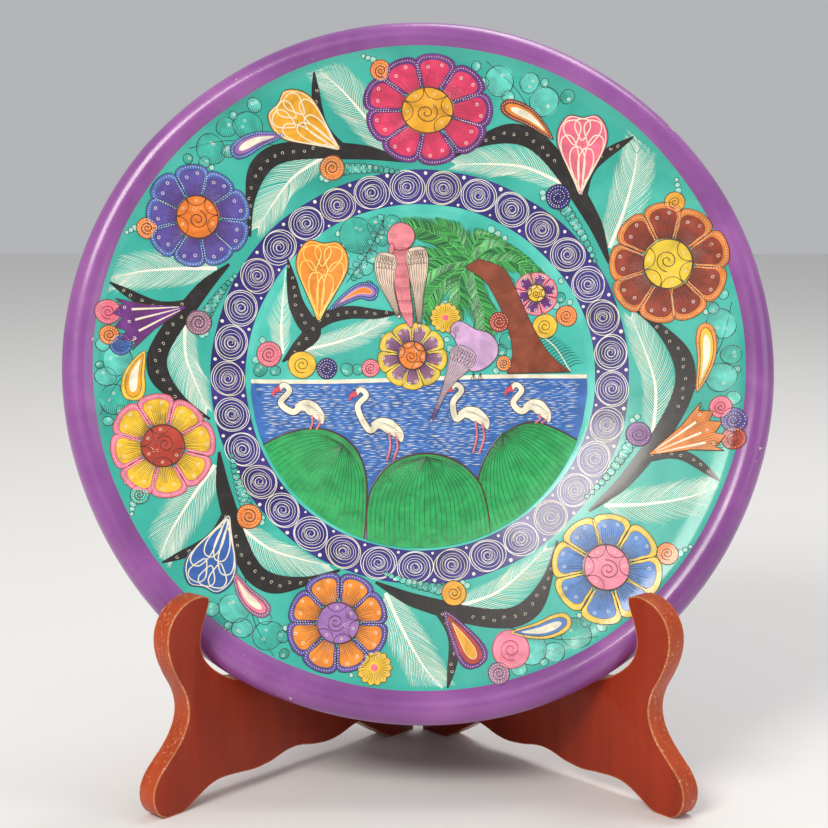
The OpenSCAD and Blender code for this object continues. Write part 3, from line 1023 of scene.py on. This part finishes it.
def sector(start, end, bud, disc, disc_dots, drops, small):
    """Everything between two flowers: stem, branch, bud, leaves, drop, discs and pale beads."""
    at = flange(start, end)
    feather([at(0.55, 109.6), at(0.40, 107.6), at(0.27, 103.4), at(0.13, 99.6)], (10.5, 13.0), 81, 1.7)
    feather([at(0.85, 104.0), at(0.775, 118.5), at(0.70, 134.5), at(0.645, 144.6)], (14.5, 13.5), 83, 1.9)
    stem([at(f, r) for f, r, w in STEM], [w for f, r, w in STEM])
    stem([at(f, r) for f, r, w in BRANCH], [w for f, r, w in BRANCH], 11)
    for t in range(11):
        bubble(at(0.60 + 0.026 * t, 101.6 - 0.62 * t), 2.7 - 0.17 * t, start + end + t, 1)
    for f, r, size in ((0.21, 138.6, 6.6), (0.295, 141.6, 4.4), (0.355, 136.8, 6.6), (0.135, 142.4, 2.2),
                       (0.25, 133.2, 3.0), (0.165, 136.4, 2.6), (0.41, 142.8, 3.2), (0.11, 138.6, 1.7),
                       (0.335, 143.9, 1.8)):
        bubble(at(f, r), size, math.radians(start + f * (end - start)) + RNG.uniform(0.3, 1.6))
    dark.stroke(spline([at(0.16, 145.2), at(0.27, 137), at(0.41, 123)], 8), [0.3] * 17, "ln_dark", 1,
                rise=0.1)
    for f, r, wide, rim, inner, line, tip in drops:
        drop([at(f, r), at(f + 0.1 * tip, r - 1.2), at(f + 0.2 * tip, r - 5.4)], wide, rim, inner, line)
    roundel(at(0.565, 103.6), 5.6, disc, "ln_dark", disc_dots, start=math.radians(start))
    tip, top = at(0.624, 110.4), at(0.475, 139.6)
    if bud[0] == "heart":
        heart_bud(tip, top, 24, *bud[1:])
    elif bud[0] == "drop":
        drop([at(0.525, 137.5), at(0.555, 126), at(0.612, 111)], 13.5, *bud[1:], core="gold")
        roundel(at(0.415, 133.5), 8.4, "pinky", "ln_rose")
        roundel(at(0.472, 142.3), 4.8, "mauve", "ln_plum", "ln_cream")
        daisy(at(0.85, 137.4), 8.0, "sun", "ln_brown", "coral")
    else:
        fan_bud(tip, top, 24, *bud[1:])
    for f, r, size, key, dotted in small:
        roundel(at(f, r), size, key, "ln_brown", dotted)
        for k in range(3):
            away = r + size * 0.95 + 1.1 * k if r < 141 else r - size - k
            curl(at(f - 0.02 - 0.014 * k, away), 1.5 - 0.3 * k, k)
    for k, (f, r) in enumerate(((0.505, 101.2), (0.52, 99.6), (0.17, 132.6), (0.1, 134.6), (0.915, 142.4),
                                (0.93, 139.8))):
        curl(at(f, r), 1.5 - 0.12 * k, k * 1.3)


# angle, radius, petals, size, sideways stretch, and the colours of rim, petals, centre and outline
FLOWERS = [(2, 119.0, 9, 24.8, 1.2, "plum", "rose", "gold", "ln_plum"),
           (67.3, 122.6, 9, 26.8, 1.04, "amber", "rust", "lemon", "ln_brown"),
           (137.1, 122.6, 8, 24.8, 1.0, "lemon", "sky", "pinky", "ln_brown"),
           (197.3, 120.0, 8, 22.8, 1.0, "iris", "tangerine", "lilac", "ln_dark"),
           (252.8, 120.0, 8, 23.2, 1.03, "pinky", "sun", "brick", "ln_rose"),
           (304.4, 121.6, 9, 23.4, 1.0, "bluebell", "iris", "orange", "ln_dark")]
HATCH = {"sky": "ln_dark", "sun": "ln_brown", "tangerine": "ln_brown", "rust": "ln_dark", "iris": "ln_plum"}
for deg, out, petals, size, stretch, rim_c, petal_c, core_c, edge_c in FLOWERS:
    flower(pol(deg, out), size, petals, math.radians(deg + 7), rim_c, petal_c, core_c, edge_c,
           HATCH.get(petal_c, "ln_rose"), stretch)

sector(2, 67.3, ("heart", "coral", "ln_cream"), "navy", "ln_white",
       [(0.235, 129.6, 8.6, "rust", "amber", "ln_dark", 1)], [(0.845, 139.5, 4.6, "gold", None)])
sector(67.3, 137.1, ("fan", "amber", "ln_cream", [(-0.27, 1.05, 5.0, "coral"), (0.05, 1.12, 5.6, "iris"),
                                              (0.36, 1.02, 5.2, "brick")]), "grape", None,
       [(0.20, 131.2, 9.0, "tangerine", "sun", "ln_brown", 1)], [(0.86, 139.5, 4.8, "orange", "ln_cream")])
sector(137.1, 197.3, ("drop", "grape", "brick", "ln_dark"), "gold", None,
       [(0.2, 131.6, 9.2, "sun", "sky", "ln_brown", 1)], [])
sector(197.3, 252.8, ("heart", "denim", "ln_cream"), "orange", "ln_cream",
       [(0.245, 131.0, 8.6, "mauve", "pinky", "ln_plum", 1)], [(0.86, 139.0, 4.2, "teal_md", "ln_white")])
sector(252.8, 304.4, ("fan", "grape", "ln_cream", [(-0.34, 0.98, 5.0, "denim"), (-0.12, 1.08, 4.4, "orange"),
                                               (0.3, 1.0, 5.6, "coral")]), "mauve", "ln_cream",
       [(0.2, 131.0, 10.5, "sun", "gold", "ln_brown", 1)], [(0.86, 139.0, 4.8, "orange", "ln_cream")])
sector(304.4, 362, ("heart", "gold", "ln_cream"), "amber", "ln_cream",
       [(0.25, 131.0, 8.8, "bluebell", "lilac", "ln_dark", 1)], [(0.84, 139.5, 4.8, "orange", "ln_cream")])

# ---------------------------------------------------------------- the banded ring of coils
RING_N, RING_R = 33, 87.5
Paint.middle = BAND_MIDDLE
for i in range(RING_N):
    deg = 7 + i * 360 / RING_N
    out = np.array([math.sin(math.radians(deg)), math.cos(math.radians(deg))])
    along_ring = np.array([out[1], -out[0]])

    def oval(size):
        """A loop a little longer round the band than across it."""
        q = ring_of((0, 0), size, 26, 0.035)
        return pol(deg, RING_R) + q[:, :1] * along_ring + q[:, 1:] * out * 0.92
    for k, size in enumerate((8.0, 7.2, 5.7, 4.4, 3.2, 1.9)):
        off = np.array([RNG.uniform(-0.22, 0.22), RNG.uniform(-0.22, 0.22)]) if k else 0
        light.stroke(oval(size) + off, 0.46 if k < 2 else 0.34, "ln_white" if i % 3 else "ln_cream",
                     closed=True)
    light.stroke(spiral_of(pol(deg, RING_R), 0.5, 3.6, 2.2, RNG.random() * TAU, 18), 0.28, "ln_white", 0.235)
    for r, size in ((BAND_OUT - 1.5, 0.85), (BAND_IN + 1.4, 0.7)):
        beads.dots(pol(deg + 180 / RING_N, r), size * RNG.uniform(0.85, 1.15), "ln_white", 0, rise=0.16,
                   sides_n=10)


# ---------------------------------------------------------------- the picture in the well
WELL_EDGE = 78.6
Paint.middle, Paint.scale = np.array([0.3, -3.7]), 0.98


def angle_of(p):
    """Clockwise degrees from the top."""
    return math.degrees(math.atan2(p[0], p[1])) % 360


def horizon(u):
    """Height of the water line, which slopes and waves a little."""
    return 0.1 + 0.02 * u + 0.5 * math.sin(u / 19.0)


# water, as a grid from the horizon down to the round edge
water = []
for u in np.linspace(-78.3, 78.3, 70):
    low = -math.sqrt(max(WELL_EDGE ** 2 - u * u, 1.0))
    top = max(horizon(u) - 0.6, low + 0.1)
    water.append([(u, top + (low - top) * t) for t in np.linspace(0, 1, 22)])
picture.slab(np.array(water), "lake", 0)

# each hill's crest line, and the high point that its ruled lines run from
HILLS = [([(-72.4, -31.0), (-62, -25.6), (-47.8, -23.0), (-36, -26.6), (-28.5, -34.0), (-24.6, -45.0),
           (-24.4, -60.0), (-25.6, -74.3)], (-35.6, -30.5)),
         ([(28.1, -73.4), (25.9, -60.0), (28.1, -43.6), (34.5, -30.5), (44.5, -22.4), (54.3, -20.2),
           (65, -24.0),
           (73.2, -28.6)], (38.6, -25.6)),
         ([(-24.2, -74.8), (-24.0, -60.0), (-20.8, -48.7), (-11.5, -38.6), (3.3, -34.7), (17.5, -38.4),
           (27.5, -47.6),
           (31.4, -59.0), (32.6, -71.6)], (3.3, -36.4))]


def above_hills(u, v):
    """True where a point of the water isn't hidden by a hill."""
    for curve, focus in HILLS:
        xs = sorted(curve)
        if xs[0][0] < u < xs[-1][0] and v < np.interp(u, [p[0] for p in xs], [p[1] for p in xs]) + 1:
            return False
    return math.hypot(u, v) < WELL_EDGE - 2.2


# short brush dashes on the water
for k in range(52):
    v = -2.3 - k * 0.86
    u = -78 + RNG.random() * 3
    while u < 78:
        length = RNG.uniform(2.2, 5.0)
        dv = RNG.uniform(-0.3, 0.3)
        if above_hills(u, v + horizon(u)) and above_hills(u + length, v + horizon(u)) and RNG.random() < 0.93:
            y = v + horizon(u) + dv
            dash = [(u, y), (u + length / 2, y + RNG.uniform(-0.15, 0.15)), (u + length, y + 0.02 * length)]
            pen.stroke(dash, [0.16, RNG.uniform(0.32, 0.48), 0.12],
                       "ln_white" if RNG.random() < 0.62 else "ln_blue", 1, rise=0.07)
        u += length + RNG.uniform(0.5, 2.0)

# hills: rounded humps ruled with lines from one high point
for number, (curve, focus) in enumerate(HILLS):
    crest = spline(curve, 8)
    a0, a1 = angle_of(curve[0]), angle_of(curve[-1])
    edge = np.array([pol(d, WELL_EDGE) for d in np.linspace(a0, a1, len(crest))])
    down = np.linspace(0, 1, 14)[None, :, None]
    base = 2 + number
    picture.slab(crest[:, None] + (edge - crest)[:, None] * down, "hill", base)
    pen.stroke(crest, 0.75, "ln_brown", base + 1, rise=0.1)
    focus = np.array(focus)
    top = int(np.argmin(np.linalg.norm(crest - focus, axis=1)))
    for k in range(24):
        t = (k + 0.5) / 24
        run = crest[:top + 1][::-1] if t < 0.5 else crest[top:]
        q = np.linspace(0, 1, 16)
        run = np.stack([np.interp(q * (len(run) - 1), np.arange(len(run)), run[:, j]) for j in (0, 1)], 1)
        bulge = run - (run[0] + (run[-1] - run[0]) * q[:, None])
        target = pol(a0 + (a1 - a0) * t, WELL_EDGE - 0.9)
        line = focus + (target - focus) * q[:, None] + bulge * abs(2 * t - 1) ** 0.8 * 0.94
        line = line + sides(line) * (0.2 * np.sin(np.linspace(0, 8, 16) + k))[:, None]
        pen.stroke(line, np.linspace(0.46, 0.34, 16), "ln_hill", base + 1, rise=0.08)
    for k in range(0, 14, 3):
        near = (crest + sides(crest) * (-0.5 - 0.24 * k))[2 + k:len(crest) - 2 - k]
        pen.stroke(near, np.interp(np.linspace(0, 1, len(near)), [0, 0.5, 1], [0.08, 0.3, 0.08]), "ln_brown",
                   base + 1, rise=0.08)
picture.ribbon(spline([(u, horizon(u)) for u in (-78.2, -40, 0, 40, 78.2)], 16), 1.9, "cream", 1)


def wader(foot_u, head, body, tail, depth):
    """White wading bird: curled neck, plump body, two striped legs that end at a depth in the water."""
    h, b, t = (np.array(x, float) for x in (head, body, tail))
    neck = spline([h, h + (2.6, 2.3), h + (5.2, -0.6), h + (1.2, -6.2), b + (-4.2, -3.2), b], 8)
    nk = np.linspace(2.1, 3.0, len(neck))
    nk[:3] = 2.6
    body_line = spline([b + (-3.0, -1.4), b + (1.5, -0.2), (b + t) / 2 + (1.0, 0.6), t, t + (1.0, -3.4)], 8)
    w = np.interp(np.linspace(0, 1, len(body_line)), [0, 0.2, 0.45, 0.75, 1], [2.4, 5.0, 6.6, 4.4, 0.6])
    base = 5
    for leg, dx in ((-1.0, 0.0), (1.9, 0.5)):
        top = (b + t) / 2 + (leg + 1.2, -2.0)
        line = spline([top, top + (0.5 + dx, -(top[1] - depth) * 0.5), (foot_u + leg, depth)], 8)
        picture.ribbon(line, 0.9, "bird_pink", base)
        pen.stroke(line + (0.62, 0), 0.2, "ln_brown", base + 1, rise=0.07)
        for p in along(line, 1.6):
            pen.stroke([p + (-0.5, -0.2), p + (0.5, 0.3)], 0.32, "ln_red", base + 1, rise=0.07)
    for line, widths in ((neck, nk * 1.12), (body_line, w * 1.04)):
        pen.stroke(outline_of(line, widths), 0.34, "ln_brown", base, rise=0.1, closed=True)
    picture.ribbon(body_line, w, "cream", base)
    picture.ribbon(neck, nk, "cream", base + 1)
    picture.ribbon(spline([h + (0.9, 0.6), h + (-1.6, -0.6), h + (-2.6, -2.9)], 6),
                   np.linspace(3.0, 0.7, 13), "bird_red", base + 2)
    pen.stroke(spline([h + (0.9, 2.0), h + (-1.4, 1.0), h + (-3.0, -2.9)], 6), 0.28, "ln_brown", base + 2)
    pen.dots(h + (0.4, 0.5), 0.32, "ln_dark", base + 2)
    for k in range(9):
        p = body_line[6 + 2 * k]
        pen.stroke([p + (-1.2, 0.9 - 0.1 * k), p + (1.0, 0.2), p + (2.2, -0.9)], [0.12, 0.26, 0.1],
                   "ln_grey" if k % 2 else "ln_brown", base + 1, rise=0.07)


wader(-49.6, (-65.6, -5.0), (-54.5, -12.2), (-46.0, -17.6), -23.6)
wader(-13.9, (-29.8, -7.2), (-19.0, -20.6), (-9.2, -26.0), -38.0)
wader(26.0, (14.6, -4.8), (21.5, -15.4), (30.7, -20.0), -34.6)
wader(55.0, (42.6, -4.8), (51.8, -11.9), (59.4, -16.8), -20.6)


# ---------------------------------------------------------------- the bank above the water
def palm_frond(points, reach, base):
    """A drooping frond: a ragged blade with close leaflets on both sides, kept inside the picture."""
    p = spline(points, 10)
    n = sides(p)
    t = np.linspace(0, 1, len(p))
    w = reach * np.sin(np.pi * np.clip(0.1 + 0.86 * t, 0, 1)) ** 0.7
    for i in range(len(p)):
        while w[i] > 0.5 and any(outside(p[i] + n[i] * w[i] * sgn) for sgn in (-0.7, 0.7)):
            w[i] *= 0.9
    picture.ribbon(p, w * 1.1, "palm", base)
    tan = forward_of(p)
    for i in range(1, len(p) - 1):
        for sub in (0, 0.33, 0.66):
            o = p[i] * (1 - sub) + p[i + 1] * sub
            for sgn in (-1, 1):
                L = w[i] * RNG.uniform(0.95, 1.2)
                way = n[i] * sgn * 0.78 + tan[i] * 1.05
                while outside(o + way * L) and L > 0.6:
                    L *= 0.85
                middle = o + (n[i] * sgn * 0.5 + tan[i] * 0.42) * L
                key = ("ln_palm", "palm_lt", "ln_palm", "palm", "ln_green")[RNG.randrange(5)]
                pen.stroke([o, middle, o + way * L], [0.5, 0.4, 0.08], key, base + 1, rise=0.08)
    pen.stroke(p, np.linspace(0.8, 0.3, len(p)), "palm_lt", base + 1, rise=0.12)


crown = (24.4, 56.0)
FRONDS = [([crown, (14, 65), (5, 70), (-6.5, 73.5)], 8.0), ([crown, (20, 65), (15, 71), (9, 74)], 6.0),
          ([crown, (26, 64), (31, 68.5), (38, 66.5)], 6.6), ([crown, (10, 58), (0, 55), (-6.0, 47)], 7.6),
          ([crown, (13, 48), (6, 40), (2.0, 28.6)], 8.2), ([crown, (35, 62.5), (46, 60.5), (57, 50.0)], 8.2),
          ([crown, (37, 56), (46, 55), (54.5, 44.6)], 6.6), ([crown, (27, 42), (30, 32), (31.2, 18.6)], 7.6),
          ([crown, (19, 47), (19, 38), (15, 26.6)], 7.6), ([crown, (12, 54), (2, 48), (-2.4, 38.6)], 6.6)]
for k, (points, reach) in enumerate(FRONDS):
    palm_frond(points, reach, 0.4 + k * 0.14)
left_side = spline([(21.6, 53.0), (30.8, 46.4), (37.0, 36.0), (41.6, 24.0), (43.6, 12.0), (41.0, 2.6)], 9)
right_side = spline([(27.6, 57.0), (39.6, 52.4), (46.4, 40.0), (52.6, 26.0), (60.4, 12.6), (70.6, 3.4)], 9)
trunk = (left_side + right_side) / 2
across = np.linspace(0, 1, 6)[None, :, None]
picture.slab(left_side[:, None] * (1 - across) + right_side[:, None] * across, "trunk", 5)
pen.stroke(np.concatenate([left_side, right_side[::-1]]), 0.34, "ln_brown", 6, closed=True)
for i in (10, 15, 25, 30):     # leaf scars across the trunk
    s = (left_side[i] - right_side[i]) / 2
    pen.stroke(spline([trunk[i] + s, trunk[i] + forward_of(trunk)[i] * 1.1, trunk[i] - s], 5), 0.22,
               "ln_brown", 6,
               rise=0.07)
for _ in range(46):     # grass at its foot
    u = RNG.uniform(43.5, 68.5)
    h = 1.2 + 3.4 * math.exp(-((u - 56) / 9) ** 2) * RNG.random() + 1.2
    pen.stroke([(u, 1.9 + 0.02 * u), (u - 0.2, 1.9 + h)], [0.24, 0.06], "ln_brown", 6, rise=0.06)


# a folded wing's width, as shares of its widest, from the shoulder to the tip
BROAD_WING = [0.3, 0.72, 0.9, 1.0, 0.8, 0.44, 0.1]
LONG_WING = [0.3, 0.72, 0.92, 1.0, 0.52, 0.2, 0.07]


def plume(points, wide, key, line, base, count, shape=BROAD_WING):
    """A folded wing or tail: long feathers side by side over a soft fill."""
    p = spline(points, 8)
    w = wide * np.interp(np.linspace(0, 1, len(p)), [0, 0.05, 0.1, 0.25, 0.52, 0.74, 1], shape)
    picture.ribbon(p, w, key, base)
    pen.stroke(outline_of(p, w), 0.3, line, base + 0.8, rise=0.09, closed=True)
    half = sides(p) * w[:, None] / 2
    for t in np.linspace(-0.86, 0.86, count):
        pen.stroke((p + half * t)[2:-1], 0.32, line, base + 1, rise=0.08)
        pen.stroke((p + half * (t + 0.06))[4:-1], 0.18, "ln_cream", base + 1, rise=0.07)


def coverts(points, wide, line, base):
    """Short scalloped feathers over the shoulder of a folded wing."""
    p = spline(points, 8)
    n, tan = sides(p), forward_of(p)
    for i, reach in ((2, 0.62), (4, 0.8), (6, 0.92)):
        for t in np.linspace(-0.4, 0.4, 6) * wide * reach:
            scallop = ((0.8, 0), (0.6, 1.5), (0, 2.1), (-0.6, 1.5), (-0.8, 0))
            arc = [p[i] + n[i] * t + n[i] * x + tan[i] * y for x, y in scallop]
            pen.stroke(spline(arc, 3), 0.34, line, base, rise=0.09)


# pink bird seen from behind, with both wings folded
body = spline([(-8.4, 66.0), (-8.6, 58.0), (-8.2, 47.0), (-6.4, 35.0), (-3.6, 24.4)], 8)
bw = np.interp(np.linspace(0, 1, len(body)), [0, 0.15, 0.3, 0.8, 1], [9.0, 7.2, 8.2, 6.0, 1.2])
picture.ribbon(body, bw, "bird_pink", 6)
pen.stroke(outline_of(body, bw), 0.32, "ln_brown", 7, closed=True)
for k in range(7):
    c = body[3 + k * 4]
    for x in np.arange(-2.9, 3.0, 0.62):
        pen.stroke([c + (x, 1.0), c + (x * 1.02, -1.1)], [0.36, 0.14], "ln_rose", 7, rise=0.08)
for wing in ([(-14.6, 59.8), (-15.8, 52.0), (-14.4, 42.6), (-9.2, 28.8)],
             [(-1.6, 62.6), (-0.6, 54.0), (-0.4, 43.0), (0.2, 24.4)]):
    plume(wing, 10.4, "bird_pale", "ln_brown", 7, 8)
    coverts(wing, 10.0, "ln_brown", 8)
picture.fill(ring_of((-8.5, 67.6), 6.5, 26, 0.02), "bird_pink", 8)
pen.stroke(ring_of((-8.5, 67.6), 6.5, 30, 0.02), 0.34, "ln_brown", 9, closed=True)
beak = ring_of((-12.9, 61.8), 1.3, 16, 0.0) + np.outer(np.sin(np.linspace(0, TAU, 16)), (0, 1.3))
picture.fill(beak, "bird_pink", 9)
pen.stroke(beak, 0.32, "ln_brown", 10, closed=True)
for r, k in ((1.3, 12), (0.5, 8)):
    pen.stroke(ring_of((-12.2, 68.0), r, k, 0.0), 0.26, "ln_brown", 9, closed=True)
for x in np.arange(-3.4, 3.5, 0.66):
    pen.stroke([(x - 8.2, 62.6), (x * 1.04 - 8.2, 60.4)], [0.36, 0.12], "ln_rose", 9, rise=0.08)

# lilac bird turned to the left with its tail over the water
body = spline([(15.6, 25.6), (18.8, 27.4), (22.4, 26.0), (26.6, 23.4), (32.4, 21.8), (36.4, 17.2),
               (36.6, 11.4),
               (32.4, 6.2), (26.0, 3.6), (21.6, 6.0), (19.4, 12.0), (16.6, 18.6), (14.6, 21.6)], 5,
               closed=True)
breast = np.array([26.0, 15.0])
picture.fill(body, "bird_lilac", 6, centre=breast)
pen.stroke(body, 0.36, "ln_brown", 7, closed=True)
beads.dots(along((body - breast) * 0.9 + breast, 1.3), 0.16, "ln_white", 7)
wing = [(22.6, 14.8), (18.6, 7.0), (12.8, -3.6), (5.4, -20.2)]
plume(wing, 12.4, "wing_grey", "ln_plum", 7, 9, LONG_WING)
coverts(wing, 12.0, "ln_plum", 8)
for r, k in ((1.2, 12), (0.45, 8)):
    pen.stroke(ring_of((17.4, 23.4), r, k, 0.0), 0.28, "ln_brown", 7, closed=True)
pen.stroke(spline([(14.8, 22.6), (16.6, 21.6), (17.2, 19.8), (16.4, 18.8)], 4), 0.36, "ln_brown", 7)
for u in (25.4, 28.6):
    for k in (-1, 0, 1):
        pen.stroke([(u, 3.0), (u + 0.8 * k, 0.6), (u + 1.5 * k, -0.6)], 0.3, "ln_brown", 3)

# bud, stems, drop, leaves, flowers and discs on the bank
feather([(-63.6, 12.0), (-64.4, 24.0), (-63.8, 37.0), (-62.6, 51.0)], (9.6, 7.4), 59, 1.5)
feather([(-56.0, 13.6), (-42.0, 16.4), (-28.0, 21.0), (-15.4, 27.4)], (10.0, 8.6), 72, 1.6)
stem([(-61.6, 57.0), (-59.6, 46.0), (-57.6, 36.0), (-54.0, 28.6), (-50.2, 22.0), (-57.0, 14.6), (-63.7, 8.2)],
     [0.4, 3.8, 5.6, 6.6, 6.8, 4.6, 0.7], 12)
stem([(-50.0, 25.0), (-42.0, 29.6), (-32.0, 31.6), (-20.0, 30.8), (-9.4, 31.2)], [5.0, 5.2, 4.8, 3.6, 0.6],
     12)
heart_bud((-47.0, 27.6), (-44.8, 65.6), 25.5, "tangerine", "ln_yellow")
drop([(-19.4, 39.6), (-28.0, 41.6), (-42.2, 32.6)], 8.4, "denim", "lilac", "ln_dark", core="orange")
flower((-3.2, 11.2), 16.2, 9, 0.3, "lemon", "mauve", "orange", "ln_brown", "ln_plum", inside=(0.56, 0.76))
flower((55.0, 40.6), 10.2, 6, 0.25, "pinky", "grape", "sun", "ln_rose", "ln_plum", inside=(0.5, 0.8))
daisy((12.4, 29.0), 7.3, "sun", "ln_brown", "coral", 5)
for c, r, key, dotted, level in (
        ((58.9, 25.0), 5.8, "sun", None, 2), ((69.0, 29.8), 4.9, "orange", "ln_cream", 2),
        ((37.5, 27.0), 4.7, "brick", "ln_cream", 5), ((39.6, 7.4), 3.6, "amber", "ln_cream", 5),
        ((-70.0, 11.8), 5.9, "coral", "ln_cream", 2), ((-54.6, 6.8), 6.5, "sun", None, 2),
        ((-43.0, 5.0), 4.9, "navy", "ln_white", 2), ((-22.6, 5.2), 4.2, "coral", "ln_cream", 2)):
    roundel(c, r, key, "ln_brown", dotted, level)
for u, v, r in ((-33.6, 4.6, 3.0), (-28.6, 4.6, 2.6), (-74.0, 4.4, 3.2), (-67.0, 4.0, 2.4),
                (-28.9, 68.0, 8.6),
                (-12.4, 73.6, 4.4), (-20.4, 73.0, 4.0), (-17.4, 66.0, 3.0), (-15.6, 57.0, 2.4),
                (-22.0, 57.8, 3.0), (-24.6, 52.4, 3.2), (-28.6, 50.0, 2.4), (41.6, 18.0, 4.0),
                (38.4, 13.6, 2.8), (42.0, 46.0, 2.6), (66.0, 38.6, 2.6), (-23.6, 44.4, 2.2)):
    bubble(np.array([u, v]), r, RNG.random() * 6)
vine = spline([(-16.0, 78.0), (-20.5, 67.0), (-26.0, 57.0), (-34.0, 45.6)], 10)
dark.stroke(vine, 0.34, "ln_dark", 1)
for k, p in enumerate(along(vine, 2.1, 2)):
    bubble(p + sides(vine)[min(k, 5)] * (1.5 if k % 2 else -1.5), 1.5, k, 0)
for k, c in enumerate((
        (-36.4, 62.6), (-34.0, 58.4), (-38.0, 69.0), (34.0, 71.0), (37.0, 69.0), (40.4, 66.8), (12.4, 35.6),
        (5.0, 31.4), (66.6, 46.4), (64.2, 34.8), (46.0, 35.6), (70.6, 36.2), (-76.0, 9.0), (-73.0, 18.4),
        (13.0, 18.8), (14.6, 14.4), (-16.6, 20.0), (33.8, 27.6), (34.6, 22.4), (36.0, 4.0))):
    curl(c, 1.9 - 0.25 * (k % 3), k * 1.1)
fern = spline([(56.6, 21.0), (64.0, 14.6), (70.6, 3.6)], 10)
pen.stroke(fern, 0.5, "ln_white", 2)
for k, p in enumerate(along(fern, 1.5, 1)):
    for sgn in (-1, 1):
        d = np.array([0.9 * sgn, 0.36 if sgn > 0 else -0.62])
        reach = 7.0 - 0.3 * k if sgn < 0 else 4.6 + 0.25 * k
        if math.hypot(*(p + d * reach)) < 78:
            leaflet = [p, p + d * reach * 0.5 + (0, 0.5), p + d * reach + (0, -0.6)]
            dark.stroke(leaflet, [0.44, 0.36, 0.12], "ln_teal", 1)

for group in (fills, stems, bubbles, picture, hairs, dark, light, beads, pen):
    group.build()
